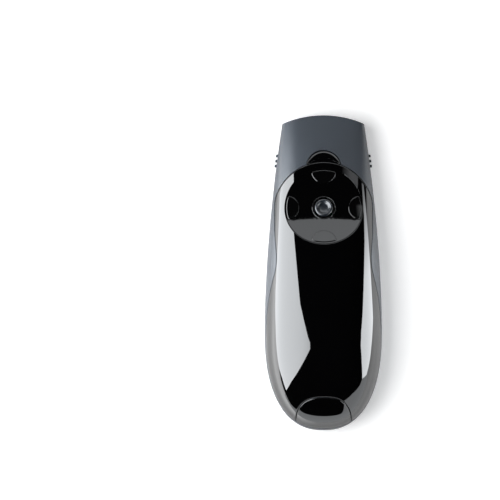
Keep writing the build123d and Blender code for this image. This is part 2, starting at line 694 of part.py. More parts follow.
# ================================================================ joystick
def make_joystick():
    """A thumb stick on a gimbal: a sliding frame, a ring that tips in it and a stem in the ring."""
    axis_z = JOY_PIVOT
    base = BOARD_TOP
    can_in = JOY_CAN_HALF - JOY_CAN_WALL
    can = block(-JOY_CAN_HALF, JOY_CAN_HALF, -JOY_CAN_HALF, JOY_CAN_HALF, base, base + JOY_CAN_TALL)
    can = fillet(can.edges().filter_by(Axis.Z), 0.6)
    can -= block(-can_in, can_in, -can_in, can_in, base - 1, base + 9)

    frame_out = can_in - JOY_PIN_FIT
    frame_in = frame_out - JOY_FRAME_WALL
    low, high = axis_z - JOY_FRAME_TALL / 2, axis_z + JOY_FRAME_TALL / 2
    frame = block(-frame_out, frame_out, -frame_out, frame_out, low, high)
    frame -= block(-frame_in, frame_in, -frame_in, frame_in, low - 1, high + 1)
    across = Pos(0, 0, axis_z) * Rot(0, 90, 0)
    along = Pos(0, 0, axis_z) * Rot(90, 0, 0)
    frame -= across * Cylinder(JOY_PIN_R + JOY_PIN_FIT, 20)

    ring_low, ring_high = axis_z - JOY_RING_TALL / 2, axis_z + JOY_RING_TALL / 2
    ring = post(0, 0, ring_low, ring_high, JOY_RING_R)
    ring += across * Cylinder(JOY_PIN_R, 2 * (frame_out - 0.2))
    ring -= post(0, 0, ring_low - 1, ring_high + 1, JOY_RING_HOLE_R)
    ring -= along * Cylinder(JOY_PIN_R + JOY_PIN_FIT, 20)

    dish_z = dish_height(0, 0)
    cap_high = dish_z + JOY_CAP_PROUD
    cap_low = cap_high - JOY_CAP_TALL
    stem = post(0, 0, axis_z - JOY_FOOT, cap_low, JOY_STEM_R)
    stem = fillet(stem.edges().group_by(Axis.Z)[0], 0.5)
    stem += along * Cylinder(JOY_PIN_R, 2 * (JOY_RING_R - 0.1))

    cap = post(0, 0, cap_low, cap_high, JOY_CAP_R)
    cap = fillet(cap.edges().group_by(Axis.Z)[-1], 0.35)
    dip_high = JOY_CAP_R - 0.55
    cap -= Pos(0, 0, cap_high - JOY_CAP_DIP / 2) * Cone(JOY_DIP_R, dip_high, JOY_CAP_DIP)
    dome = post(0, 0, base, axis_z - JOY_FOOT - JOY_PRESS - JOY_TILT_ROOM, JOY_DOME_R)
    dome = chamfer(dome.edges().group_by(Axis.Z)[-1], 0.35)
    return {
        "joystick_can": can, "joystick_frame": frame, "joystick_rocker": ring,
        "joystick_stem": stem, "joystick_cap": cap, "joystick_dome": dome,
    }


# ================================================================ boards
def make_board():
    """The keypad board under the deck, tapered to the nose, with its screw holes."""
    low = BOARD_TOP - BOARD_THICK
    bend = BOARD_BOSS[1]
    plan = make_face(Polyline(
        (-BOARD_HALF, -BOARD_REAR), (BOARD_HALF, -BOARD_REAR), (BOARD_HALF, bend),
        (BOARD_NOSE_HALF, BOARD_FRONT), (-BOARD_NOSE_HALF, BOARD_FRONT), (-BOARD_HALF, bend),
        close=True,
    ))
    board = DECK * Pos(0, 0, low) * extrude(fillet(plan.vertices(), 1.5), BOARD_THICK)
    for hole in board_posts(low - 1, BOARD_TOP + 1, BOARD_SCREW_R + SCREW_FIT):
        board -= hole
    return board


def make_board_screws():
    """Four small screws that hold the board up to the upper housing."""
    low = BOARD_TOP - BOARD_THICK
    screw = post(0, 0, low, BOARD_TOP + BOARD_SCREW_REACH - SCREW_FIT, BOARD_SCREW_R)
    screw += post(0, 0, low - BOARD_HEAD_TALL, low, BOARD_HEAD_R)
    return [DECK * Pos(x, y, 0) * screw for x, y in board_spots()]


# ================================================================ fasteners
def make_housing_screws():
    """Four pan-headed screws from below, each with a cross recess."""
    screws = []
    for x, y in screw_spots():
        seat = screw_seat(y)
        screw = post(x, y, seat - SCREW_HEAD_TALL, seat, SCREW_HEAD_R)
        screw = fillet(screw.edges().group_by(Axis.Z)[0], 0.4)
        screw += post(x, y, seat, SCREW_TOP_Z, SCREW_R)
        for length, width in ((2.2, 0.5), (0.5, 2.2)):
            screw -= Pos(x, y, seat - SCREW_HEAD_TALL) * Box(length, width, 1.4)
        screws.append(screw)
    return screws


# ================================================================ laser
def make_laser():
    """The laser module: a brass barrel with its lens, diode and driver board, and a window."""
    front, rear = BARREL_FRONT_Y, BARREL_FRONT_Y - BARREL_LENGTH
    barrel = along_y(0, LASER_Z, rear, front, BARREL_R)
    barrel -= along_y(0, LASER_Z, rear - 1, front - 0.8, BARREL_BORE_R)
    barrel -= along_y(0, LASER_Z, front - 2, front + 1, APERTURE_R)
    lens_back = front - 0.8 - 1.2
    lens = along_y(0, LASER_Z, lens_back, front - 0.85, BARREL_BORE_R - BARREL_FIT)
    diode = along_y(0, LASER_Z, rear + 0.5, rear + 4.0, BARREL_BORE_R - BARREL_FIT)
    board = block(-2.6, 2.6, rear - 1.1, rear - 0.1, LASER_Z - 2.6, LASER_Z + 2.6)
    for x, z in ((-0.9, 0), (0.9, 0), (0, 0.9)):
        diode += along_y(x, LASER_Z + z, rear - 0.1, rear + 0.5, 0.25)
    back = LENGTH / 2 - WINDOW_THICK - SEAM_GAP
    window = along_y(0, LASER_Z, back, back + WINDOW_THICK, WINDOW_R)
    return {
        "laser_barrel": barrel, "laser_lens": lens, "laser_diode": diode,
        "laser_board": board, "laser_window": window,
    }


# ================================================================ receiver
def make_receiver():
    """The stowed USB receiver: an arched cap, a plastic case and a USB plug."""
    middle = (RECEIVER_LOW + RECEIVER_HIGH) / 2
    half, front = RECEIVER_HALF, RECEIVER_FRONT_Y
    case = block(-half, half, RECEIVER_REAR_Y, front, RECEIVER_LOW, RECEIVER_HIGH)
    pocket = case
    case = fillet(case.edges().filter_by(Axis.Y), RECEIVER_EDGE_R)
    wall = RECEIVER_WALL
    case -= block(
        -RECEIVER_HALF + wall, RECEIVER_HALF - wall, RECEIVER_REAR_Y + wall,
        RECEIVER_FRONT_Y - wall, RECEIVER_LOW + wall, RECEIVER_HIGH - wall,
    )
    plug_back = RECEIVER_FRONT_Y - wall
    plug_front = RECEIVER_FRONT_Y + PLUG_LENGTH
    half, tall = PLUG_WIDTH / 2, PLUG_TALL / 2
    skin = block(-half, half, plug_back, plug_front, middle - tall, middle + tall)
    skin = fillet(skin.edges().filter_by(Axis.Y), 0.4)
    case -= skin
    hollow = block(
        -half + PLUG_WALL, half - PLUG_WALL, plug_back - 1, plug_front + 1,
        middle - tall + PLUG_WALL, middle + tall - PLUG_WALL,
    )
    plug = skin - hollow
    for x in (-half / 2 + 0.2, half / 2 - 0.2):
        hole_y = plug_front - 6.2
        plug -= block(x - PLUG_HOLE / 2, x + PLUG_HOLE / 2, hole_y - PLUG_HOLE, hole_y, middle, BIG)
    tongue_low = middle - tall + PLUG_WALL + 0.02
    tongue = block(
        -TONGUE_WIDTH / 2, TONGUE_WIDTH / 2, plug_back, plug_front - 0.6,
        tongue_low, tongue_low + TONGUE_TALL,
    )
    pins = []
    for index in range(PIN_COUNT):
        x = (index - (PIN_COUNT - 1) / 2) * PIN_PITCH
        top = tongue_low + TONGUE_TALL
        pins.append(block(
            x - PIN_WIDTH / 2, x + PIN_WIDTH / 2, plug_front - 9.5, plug_front - 2.0, top, top + 0.15
        ))
    card = block(
        -RECEIVER_HALF + wall + 0.3, RECEIVER_HALF - wall - 0.3, RECEIVER_REAR_Y + wall + 0.3,
        plug_back - 0.1, middle - 0.4, middle + 0.4,
    )

    cap = body() & receiver_arch()
    cap -= pocket
    slope = math.degrees(math.atan2(crown_z(THUMB_Y + 1) - crown_z(THUMB_Y - 1), 2))
    scoop = scale(Sphere(1), by=(THUMB_HALF, THUMB_REACH, THUMB_DEPTH * 2))
    cap -= Pos(0, THUMB_Y, crown_z(THUMB_Y) + THUMB_DEPTH) * Rot(slope, 0, 0) * scoop
    return {
        "receiver_cap": cap, "receiver_case": case, "usb_plug": plug, "usb_tongue": tongue,
        "usb_contacts": pins, "receiver_board": card,
    }


# ================================================================ the assembly
KEYS = {"right": 0, "top": 90, "left": 180, "bottom": 270}


def save(name, shape):
    """Writes one node. A list of separate solids becomes one node of several solids."""
    solids = shape if isinstance(shape, list) else shape.solids()
    solids = [solid for piece in solids for solid in piece.solids()]
    export_step(solids[0] if len(solids) == 1 else Compound(solids), f"parts/{name}.step")


def main():
    """Makes every piece and writes it."""
    os.makedirs("parts", exist_ok=True)
    save("top_cover", make_cover())
    save("upper_housing", make_upper())
    save("lower_housing", make_lower())
    save("battery_door", make_door())
    save("inner_chassis", make_chassis())
    save("housing_screws", make_housing_screws())
    save("keypad_board", make_board())
    save("board_screws", make_board_screws())
    save("control_dish", make_dish())

    case, plunger = make_switch()
    places = {name: switch_place(angle) for name, angle in KEYS.items()}
    places["laser"] = (0, LASER_SWITCH_AT)
    for name, (x, y) in places.items():
        save(f"{name}_switch", DECK * Pos(x, y, 0) * case)
        save(f"{name}_plunger", DECK * Pos(x, y, 0) * plunger)
    cap_layer = dish_layer(-KEY_LIP, KEY_PROUD)
    for name, angle in KEYS.items():
        save(f"{name}_key", make_key(angle, cap_layer))
    save("laser_button", make_laser_button())

    for name, shape in make_joystick().items():
        save(name, DECK * shape)
    for name, shape in {**make_power(), **make_laser(), **make_receiver()}.items():
        save(name, shape)


main()
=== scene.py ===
# %% [markdown]
# # A wireless presentation clicker
#
# This notebook dresses a CAD model of a palm-sized clicker and sets it on a pale floor. The model
# comes in as a fixed frame, so nothing here moves or resizes a part. Blender adds what the solids
# can't show: rolled edges, a piano-black lacquer, a rubbery grey paint, and the studio around it.

# %% Load the frame
import bmesh
import bpy
import json
import math
import numpy as np
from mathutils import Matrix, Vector


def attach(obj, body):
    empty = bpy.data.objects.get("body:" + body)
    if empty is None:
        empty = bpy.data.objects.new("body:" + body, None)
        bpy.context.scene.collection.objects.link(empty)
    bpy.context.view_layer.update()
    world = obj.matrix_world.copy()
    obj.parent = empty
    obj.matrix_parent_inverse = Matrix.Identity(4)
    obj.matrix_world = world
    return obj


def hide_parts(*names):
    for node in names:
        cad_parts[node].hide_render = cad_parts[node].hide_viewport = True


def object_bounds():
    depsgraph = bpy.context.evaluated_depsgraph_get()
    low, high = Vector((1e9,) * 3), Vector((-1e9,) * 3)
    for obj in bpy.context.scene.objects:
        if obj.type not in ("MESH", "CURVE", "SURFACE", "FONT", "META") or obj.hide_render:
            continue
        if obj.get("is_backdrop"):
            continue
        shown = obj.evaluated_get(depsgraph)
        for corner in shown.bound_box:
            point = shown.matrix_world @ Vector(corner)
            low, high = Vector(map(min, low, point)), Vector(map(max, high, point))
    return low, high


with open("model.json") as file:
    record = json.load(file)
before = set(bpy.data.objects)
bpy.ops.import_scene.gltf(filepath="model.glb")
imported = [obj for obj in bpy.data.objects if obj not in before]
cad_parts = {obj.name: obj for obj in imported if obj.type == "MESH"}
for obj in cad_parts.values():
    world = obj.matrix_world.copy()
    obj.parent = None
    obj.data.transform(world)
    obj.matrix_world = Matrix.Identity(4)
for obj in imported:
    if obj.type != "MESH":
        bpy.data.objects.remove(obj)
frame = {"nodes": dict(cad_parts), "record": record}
nodes = frame["nodes"]
cad_low, cad_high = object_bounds()
MM = 0.001
print("CAD box in mm:", [round((b - a) / MM, 1) for a, b in zip(cad_low, cad_high)])

# %% [markdown]
# ## Short cuts for shader nodes
#
# A material is a graph of nodes. In the shader editor each node is dropped in and its fields are
# typed. In a script every field is a line of its own, and the lines soon hide the idea. So three
# helpers come first: one adds a node with its values, one spreads a measure such as a noise or a
# height over a range, and one multiplies two measures. Nearly every graph below needs them.


# %% Helpers that add nodes
def add(tree, kind, values=None, **settings):
    """Adds a shader node. Its settings come first, because they decide which sockets are open."""
    node = tree.nodes.new("ShaderNode" + kind)
    for field, value in settings.items():
        setattr(node, field, value)
    for socket, value in (values or {}).items():
        node.inputs[socket].default_value = value
    return node


def spread(tree, source, span, levels=(0.0, 1.0)):
    """A Map Range node: as source runs over span, the result runs between the two levels."""
    ends = {"From Min": span[0], "From Max": span[1], "To Min": levels[0], "To Max": levels[1]}
    node = add(tree, "MapRange", ends)
    tree.links.new(source, node.inputs["Value"])
    return node.outputs["Result"]


def product(tree, first, second):
    """A Math node: first times second."""
    node = add(tree, "Math", operation="MULTIPLY")
    tree.links.new(first, node.inputs[0])
    tree.links.new(second, node.inputs[1])
    return node.outputs["Value"]


# %% [markdown]
# ## Shaders that several finishes share
#
# Moulded plastic is never one flat colour. Under a lamp it shows a fine grain from the tool, a
# slow drift in shade, and faint scuffs. Each material could have its own noise nodes, but then a
# change has to be made many times. So the three are one node group, which every material places
# with its own scale and strength. The group puts out only masks: the Principled shader stays in
# the material itself, where the exporter can read it.

# %% A group that makes grain, drift and scuffs
DRIFT_PER_METRE = 60.0
SCUFF_STRETCH, SCUFF_TURN, SCUFF_BAND = (900.0, 60.0, 60.0), (0.3, 0.5, 0.7), (0.60, 0.72)


def group_sockets(group, inputs, outputs):
    """Gives a node group its named inputs, with their defaults, and its outputs."""
    for label, kind, default in inputs:
        socket = group.interface.new_socket(label, in_out="INPUT", socket_type=kind)
        socket.default_value = default
    for label, kind in outputs:
        group.interface.new_socket(label, in_out="OUTPUT", socket_type=kind)


def make_grain_group():
    """Fine grain height, slow drift and thin scuffs, all from noise on Object coordinates."""
    number = "NodeSocketFloat"
    group = bpy.data.node_groups.new("moulded_grain", "ShaderNodeTree")
    group_sockets(
        group,
        [("Grain per metre", number, 4000.0), ("Scuff amount", number, 0.3)],
        [("Grain", number), ("Drift", number), ("Scuffs", number)],
    )
    link = group.links.new
    inlet, outlet = group.nodes.new("NodeGroupInput"), group.nodes.new("NodeGroupOutput")
    place = add(group, "TexCoord").outputs["Object"]

    grain = add(group, "TexNoise", {"Detail": 3.0})
    link(place, grain.inputs["Vector"])
    link(inlet.outputs["Grain per metre"], grain.inputs["Scale"])
    link(grain.outputs["Fac"], outlet.inputs["Grain"])

    drift = add(group, "TexNoise", {"Scale": DRIFT_PER_METRE, "Detail": 2.0})
    link(place, drift.inputs["Vector"])
    link(drift.outputs["Fac"], outlet.inputs["Drift"])

    stretch = add(group, "Mapping", {"Scale": SCUFF_STRETCH, "Rotation": SCUFF_TURN})
    scratch = add(group, "TexNoise", {"Scale": 1.0, "Detail": 4.0})
    link(place, stretch.inputs["Vector"])
    link(stretch.outputs["Vector"], scratch.inputs["Vector"])
    scuffs = spread(group, scratch.outputs["Fac"], SCUFF_BAND)
    link(product(group, scuffs, inlet.outputs["Scuff amount"]), outlet.inputs["Scuffs"])
    return group


GRAIN = make_grain_group()
print("shared group:", GRAIN.name, "with", len(GRAIN.nodes), "nodes")

# %% [markdown]
# ## A recipe for plastics, metals and rubber
#
# Every finish starts from the same recipe: two shades that the drift mixes, two roughness values
# that the scuffs mix, and a grain height that feeds a bump. What differs is how strong each is.
# Piano black has no grain at all and stays nearly a mirror; rubber paint has deep grain and a soft
# sheen. Image textures could do the same, but a recipe stays sharp at any distance.


# %% The recipe
def finish(name, shades, roughness, grain=4000.0, bump=0.0, scuffs=0.2, **shader):
    """A material whose colour, roughness and bump come from the shared grain group.

    shades and roughness are pairs: the drift mixes the two shades, and the scuffs raise the
    roughness from its first value towards its second. grain is in waves a metre and bump in
    millimetres. Any other name is an input of the Principled shader.
    """
    material = bpy.data.materials.new(name)
    material.use_nodes = True
    tree = material.node_tree
    link = tree.links.new
    surface = tree.nodes["Principled BSDF"]
    amounts = {"Grain per metre": grain, "Scuff amount": scuffs}
    group = add(tree, "Group", amounts, node_tree=GRAIN)

    ends = {"A": (*shades[0], 1.0), "B": (*shades[1], 1.0)}
    blend = add(tree, "Mix", ends, data_type="RGBA")
    link(group.outputs["Drift"], blend.inputs["Factor"])
    link(blend.outputs["Result"], surface.inputs["Base Color"])

    rough = spread(tree, group.outputs["Scuffs"], (0.0, 1.0), roughness)
    link(rough, surface.inputs["Roughness"])

    if bump:
        relief = add(tree, "Bump", {"Strength": 1.0, "Distance": bump * MM})
        link(group.outputs["Grain"], relief.inputs["Height"])
        link(relief.outputs["Normal"], surface.inputs["Normal"])
    for label, value in shader.items():
        surface.inputs[label.replace("_", " ")].default_value = value
    return material


# %% [markdown]
# ## The finishes
#
# A clicker of this kind is a grey shell in soft-touch paint under a cover in piano-black lacquer.
# The dish and the keys are the same black, a little less polished, and the joystick wears a cup of
# rubber. Inside are moulded plastics, green boards, plated contacts, steel, brass and a glass
# lens. Real lacquer is so dark that nearly all its light is a reflection, so its shades are close
# to zero and the studio does the rest.

# %% Every finish by its slot
FINISHES = {
    "grey_housing": finish(
        "grey_rubber_paint", ((0.025, 0.032, 0.042), (0.031, 0.039, 0.051)), (0.4, 0.52),
        grain=6000.0, bump=0.012, scuffs=0.5,
    ),
    "black_gloss": finish(
        "piano_black", ((0.0008, 0.0008, 0.001), (0.0014, 0.0014, 0.0016)), (0.03, 0.08),
    ),
    "dish_gloss": finish(
        "dish_black", ((0.0008, 0.0008, 0.001), (0.0014, 0.0014, 0.0016)), (0.05, 0.1),
    ),
    "key_gloss": finish(
        "key_black", ((0.0012, 0.0012, 0.0014), (0.002, 0.002, 0.0022)), (0.07, 0.14),
    ),
    "laser_button_gloss": finish(
        "laser_button_black", ((0.001, 0.001, 0.0012), (0.0016, 0.0016, 0.002)), (0.05, 0.1),
    ),
    "joystick_rubber": finish(
        "joystick_rubber", ((0.006, 0.009, 0.013), (0.009, 0.013, 0.018)), (0.28, 0.4),
        grain=7000.0, bump=0.01,
    ),
    "black_plastic": finish(
        "moulded_black", ((0.012, 0.012, 0.013), (0.02, 0.02, 0.021)), (0.45, 0.6), bump=0.01,
    ),
    "white_plastic": finish(
        "moulded_white", ((0.72, 0.72, 0.70), (0.8, 0.8, 0.78)), (0.4, 0.5), bump=0.006,
    ),
    "board_green": finish(
        "solder_mask", ((0.006, 0.09, 0.03), (0.01, 0.13, 0.045)), (0.25, 0.35), grain=2500.0,
    ),
    "switch_case": finish(
        "switch_black", ((0.02, 0.02, 0.022), (0.03, 0.03, 0.032)), (0.5, 0.6), bump=0.008,
    ),
    "nickel": finish(
        "nickel_plate", ((0.55, 0.53, 0.49), (0.66, 0.64, 0.6)), (0.2, 0.35), Metallic=1.0,
    ),
    "usb_steel": finish(
        "usb_steel", ((0.55, 0.56, 0.57), (0.68, 0.68, 0.69)), (0.22, 0.4),
        grain=9000.0, bump=0.003, scuffs=0.8, Metallic=1.0,
    ),
    "gold": finish(
        "gold_flash", ((0.8, 0.52, 0.16), (0.9, 0.62, 0.22)), (0.18, 0.3), Metallic=1.0,
    ),
    "screw_steel": finish(
        "screw_black_oxide", ((0.10, 0.10, 0.105), (0.16, 0.16, 0.165)), (0.3, 0.45),
        Metallic=1.0,
    ),
    "cell_wrap": finish(
        "cell_wrap", ((0.03, 0.05, 0.09), (0.04, 0.065, 0.11)), (0.2, 0.35), bump=0.004,
    ),
    "brass": finish(
        "turned_brass", ((0.66, 0.44, 0.15), (0.76, 0.53, 0.2)), (0.2, 0.35), Metallic=1.0,
    ),
    "diode_can": finish(
        "diode_gold", ((0.7, 0.5, 0.2), (0.8, 0.6, 0.26)), (0.2, 0.3), Metallic=1.0,
    ),
    "clear_lens": finish(
        "clear_lens", ((0.93, 0.95, 0.96), (0.96, 0.97, 0.98)), (0.02, 0.05),
        Transmission_Weight=1.0,
    ),
}
print("finishes:", len(FINISHES))

# %% [markdown]
# ## From finishes to solids
#
# Each solid of the model names the slot of its material, as a drawing names the plastic of each
# moulding. By hand one would pick every object and assign its material in the properties editor.
# The names make it a loop, and a solid that is added later gets its finish without a new line.

# %% Put each finish on its solids
for entry in frame["record"]["subparts"]:
    part = nodes[entry["node"]]
    part.data.materials.clear()
    part.data.materials.append(FINISHES[entry["material_slot"]])

# %% [markdown]
# ## The body's form as a formula
#
# The clicker is one smooth pebble. Every upright cut across it is a superellipse: a rounded arch
# whose width and height change along the length. Blender could get such a form by sculpting or by
# lofting curves, but a formula gives points that lie exactly on it, however fine the mesh is, and
# piano black shows every wobble. So the glossy pieces are worked out from the formula in numpy.

# %% Sizes of the form, in millimetres, as the solids have them
HALF_LENGTH, WIDTH, HEIGHT, BELT_Z = 58.5, 43.6, 29.0, 10.0
WIDEST_Y, HUMP_Y, HUMP_RUN, TAIL_CUT = -22.0, -15.2, 40.0, 0.9985
NOSE_TAPER, NOSE_TAPER_POWER = 7.1, 1.81
TAIL_POWER, HUMP_POWER, SHOULDER = 2.35, 2.1, 2.4
DECK_TILT, NOSE_TILT = math.radians(17.0), math.radians(14.0)
DECK_SLOPE = math.tan(DECK_TILT)
DISH_Y = HUMP_Y + HUMP_RUN
DISH_Z = HEIGHT - DECK_SLOPE * HUMP_RUN / 2
NOSE_EASING = (DECK_SLOPE - math.tan(NOSE_TILT)) / (2 * (HALF_LENGTH - DISH_Y))
print("middle of the dish:", DISH_Y, round(DISH_Z, 3))


# %% Width and height along the length
def half_width(y):
    """Half the plan width: a power curve that tapers to the nose, a superellipse to the tail."""
    ahead = np.clip((y - WIDEST_Y) / (HALF_LENGTH - WIDEST_Y), 0, None)
    nose = WIDTH / 2 - NOSE_TAPER * ahead**NOSE_TAPER_POWER
    behind = np.clip((WIDEST_Y - y) * TAIL_CUT / (WIDEST_Y + HALF_LENGTH), 0, 1)
    return np.where(y > WIDEST_Y, nose, WIDTH / 2 * (1 - behind**TAIL_POWER) ** (1 / TAIL_POWER))


def crown_rise(y):
    """Height over the belt: superellipse tail, parabola over the hump, easing line on the deck."""
    behind = np.clip((HUMP_Y - y) * TAIL_CUT / (HUMP_Y + HALF_LENGTH), 0, 1)
    tail = (HEIGHT - BELT_Z) * (1 - behind**HUMP_POWER) ** (1 / HUMP_POWER)
    ahead = np.clip(y - HUMP_Y, 0, None)
    hump = HEIGHT - BELT_Z - DECK_SLOPE * ahead**2 / (2 * HUMP_RUN)
    past = ahead - HUMP_RUN
    deck = DISH_Z - BELT_Z - DECK_SLOPE * past + NOSE_EASING * past**2
    return np.where(y < HUMP_Y, tail, np.where(ahead < HUMP_RUN, hump, deck))


print("width of the nose's end:", float(2 * half_width(HALF_LENGTH)))
print("height of the nose's end:", round(float(BELT_Z + crown_rise(HALF_LENGTH)), 2))

# %% The skin, its inverse and its normals
NORMAL_STEP = 0.001


def skin(angle, y):
    """Points of the skin: cosine and sine of an angle, to the superellipse's power.

    The angle runs round the section, from 0 at the right belt to a quarter turn at the crown.
    """
    across = np.sign(np.cos(angle)) * np.abs(np.cos(angle)) ** (2 / SHOULDER)
    up = np.abs(np.sin(angle)) ** (2 / SHOULDER)
    return np.stack([half_width(y) * across, y, BELT_Z + crown_rise(y) * up], -1)


def section_angle(points):
    """The angle round the section for any points above the belt, the inverse of skin()."""
    x, y, z = np.moveaxis(points, -1, 0)
    across = np.sign(x) * np.abs(x / half_width(y)) ** (SHOULDER / 2)
    up = np.clip((z - BELT_Z) / crown_rise(y), 0, None) ** (SHOULDER / 2)
    return np.arctan2(up, across)


def onto_skin(points):
    """Moves points in or out along their own section, onto the skin."""
    return skin(section_angle(points), points[..., 1])


def fullness(points):
    """The superellipse sum of width and height shares: 1 on the skin, less inside."""
    x, y, z = np.moveaxis(points, -1, 0)
    return np.abs(x / half_width(y)) ** SHOULDER + np.abs((z - BELT_Z) / crown_rise(y)) ** SHOULDER


def unit(vectors):
    """The same directions at length 1."""
    return vectors / np.linalg.norm(vectors, axis=-1, keepdims=True)


def outward(points):
    """Unit normals of the skin: the slope of fullness, by central differences."""
    steps = NORMAL_STEP * np.eye(3)
    return unit(np.stack([fullness(points + s) - fullness(points - s) for s in steps], -1))


print("normal at the hump's top:", outward(np.array([0.0, HUMP_Y, HEIGHT])).round(3))

# %% [markdown]
# ## The deck
#
# The keys stand on a deck that falls towards the nose, and they are pressed square to it. In the
# viewport one would turn an empty by 17 degrees and model in its local axes. Three unit vectors do
# the same here: x across, y down the slope to the nose, and h along the press direction.

# %% The deck's own frame
DECK_ORIGIN = np.array([0.0, DISH_Y, DISH_Z])
DECK_AXES = np.array([
    [1.0, 0.0, 0.0],
    [0.0, math.cos(DECK_TILT), -math.sin(DECK_TILT)],
    [0.0, math.sin(DECK_TILT), math.cos(DECK_TILT)],
])
PRESS_UP = DECK_AXES[2]
HEIGHT_PASSES = 25
RIM_SAMPLE = 14.3


def from_deck(local):
    """Real places of points that are given in the deck's own frame."""
    return DECK_ORIGIN + local @ DECK_AXES


def to_deck(points):
    """The deck's own coordinates of real places, the inverse of from_deck()."""
    return (points - DECK_ORIGIN) @ DECK_AXES.T


def deck_to_skin(x, y):
    """Skin points over a place of the deck: the height is corrected until it meets the skin."""
    height = np.zeros_like(x)
    for _ in range(HEIGHT_PASSES):
        points = from_deck(np.stack([x, y, height], -1))
        share = np.clip(np.abs(points[..., 0] / half_width(points[..., 1])), 0, 1)
        rise = crown_rise(points[..., 1]) * (1 - share**SHOULDER) ** (1 / SHOULDER)
        height = height + (BELT_Z + rise - points[..., 2]) / PRESS_UP[2]
    return from_deck(np.stack([x, y, height], -1))


rim_places = np.array([[RIM_SAMPLE, 0.0], [0.0, RIM_SAMPLE]])
print("skin beside and before the dish:", deck_to_skin(*rim_places).round(2))

# %% [markdown]
# ## From a grid of points to a closed mesh
#
# A moulded piece has no loose edge anywhere, and neither may its mesh, or it can't be printed or
# weighed. Blender's Bridge and Grid Fill tools close a form by hand. A form that comes as rows of
# points can be closed by its numbering: every row is a ring, neighbouring rows are joined by
# quads, and the last row joins the first again, or the rows at the ends close on a pole.


# %% Quads for a grid, and an object from points
def weave(rows, cols, wrap_rows):
    """Quads between neighbouring rows of a grid whose columns close into a loop."""
    index = np.arange(rows * cols).reshape(rows, cols)
    ahead = np.roll(index, -1, axis=1)
    if wrap_rows:
        below, below_ahead = np.roll(index, -1, axis=0), np.roll(ahead, -1, axis=0)
    else:
        index, below = index[:-1], index[1:]
        ahead, below_ahead = ahead[:-1], ahead[1:]
    return np.stack([index, ahead, below_ahead, below], -1).reshape(-1, 4)


def link_object(name, mesh):
    """An object for a mesh, linked into the scene."""
    made = bpy.data.objects.new(name, mesh)
    bpy.context.scene.collection.objects.link(made)
    return made


def mesh_object(name, points, quads, poles=()):
    """A smooth closed object in metres. Each pole is a middle point and its ring of vertices."""
    points = points.reshape(-1, 3)
    faces = quads.tolist()
    for middle, ring in poles:
        hub = len(points)
        points = np.vstack([points, middle])
        faces += np.stack([ring, np.roll(ring, -1), np.full(len(ring), hub)], -1).tolist()
    mesh = bpy.data.meshes.new(name)
    mesh.from_pydata((points * MM).tolist(), [], faces)
    edit = bmesh.new()
    edit.from_mesh(mesh)
    bmesh.ops.recalc_face_normals(edit, faces=edit.faces)
    if edit.calc_volume(signed=True) < 0:
        bmesh.ops.reverse_faces(edit, faces=edit.faces)
    volume = edit.calc_volume()
    edit.to_mesh(mesh)
    edit.free()
    mesh.shade_smooth()
    print(name, "faces:", len(mesh.polygons), "volume in mm3:", round(volume / MM**3, 1))
    return link_object(name, mesh)


# %% Two ways to close the rows, and how a piece is dressed
def ring_piece(name, rows):
    """A piece whose last row joins its first, like a tyre."""
    return mesh_object(name, rows, weave(len(rows), rows.shape[1], True))


def capped_piece(name, rows, first, last):
    """A piece whose first and last rows each close on a pole, like a pill."""
    count = rows.shape[1]
    ring = np.arange(count)
    poles = [(first, ring), (last, (len(rows) - 1) * count + ring)]
    return mesh_object(name, rows, weave(len(rows), count, False), poles)


def dress(piece, node, body, slot_name):
    """Lets a new piece stand for a node, ride on its body and wear its finish."""
    piece.data.materials.append(FINISHES[slot_name])
    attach(piece, body)
    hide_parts(node)


# %% [markdown]
# ## The cover's outline
#
# The black cover ends in four stretches: the arch round the receiver's cap, the level seam at the
# tail, the seam that climbs along the side, and the round front on the deck. They could be drawn
# as curves and projected with Shrinkwrap, but the projection wavers where the skin is steep. Here
# each stretch is a formula that gives points of the skin itself. Only the right half is worked
# out, and it is mirrored, spaced evenly and eased where the stretches meet.

# %% The side seam and the arch
SEAM_Y = np.array([
    -36, -33, -29.5, -26, -22, -18, -14, -10.5, -7, -4, -1, 1, 3, 5, 7.5, 10, 12.5, 16, 19.5, 23,
    27, 32,
])
SEAM_Z = np.array([
    14.0, 14.024, 14.172, 14.6, 15.306, 16.126, 17.056, 17.97, 19.0, 19.962, 20.805, 21.173, 21.3,
    21.143, 20.627, 19.88, 19.027, 17.823, 16.664, 15.595, 14.521, 13.409,
])
TAIL_SEAM_Z = 14.0
ARCH_HALF, ARCH_TOP_Y, ARCH_FOOT_Y, ARCH_POWER, ARCH_GAP = 10.2, -46.0, -56.0, 2.6, 0.27


def seam_z(y):
    """The side seam's height: a cubic through the stations, level behind the last one."""
    slope = np.gradient(SEAM_Z, SEAM_Y)
    slope[0] = 0
    i = np.clip(np.searchsorted(SEAM_Y, y) - 1, 0, len(SEAM_Y) - 2)
    run = SEAM_Y[i + 1] - SEAM_Y[i]
    t = np.clip((y - SEAM_Y[i]) / run, 0, 1)
    bend = t * (1 - t) * ((1 - t) * slope[i] - t * slope[i + 1]) * run
    return SEAM_Z[i] + (3 - 2 * t) * t * t * (SEAM_Z[i + 1] - SEAM_Z[i]) + bend


def side_seam(y):
    """Skin points at the seam's height, on the right side: the superellipse solved for x."""
    share = (seam_z(y) - BELT_Z) / crown_rise(y)
    x = half_width(y) * np.clip(1 - share**SHOULDER, 0, 1) ** (1 / SHOULDER)
    return np.stack([x, y, seam_z(y)], -1)


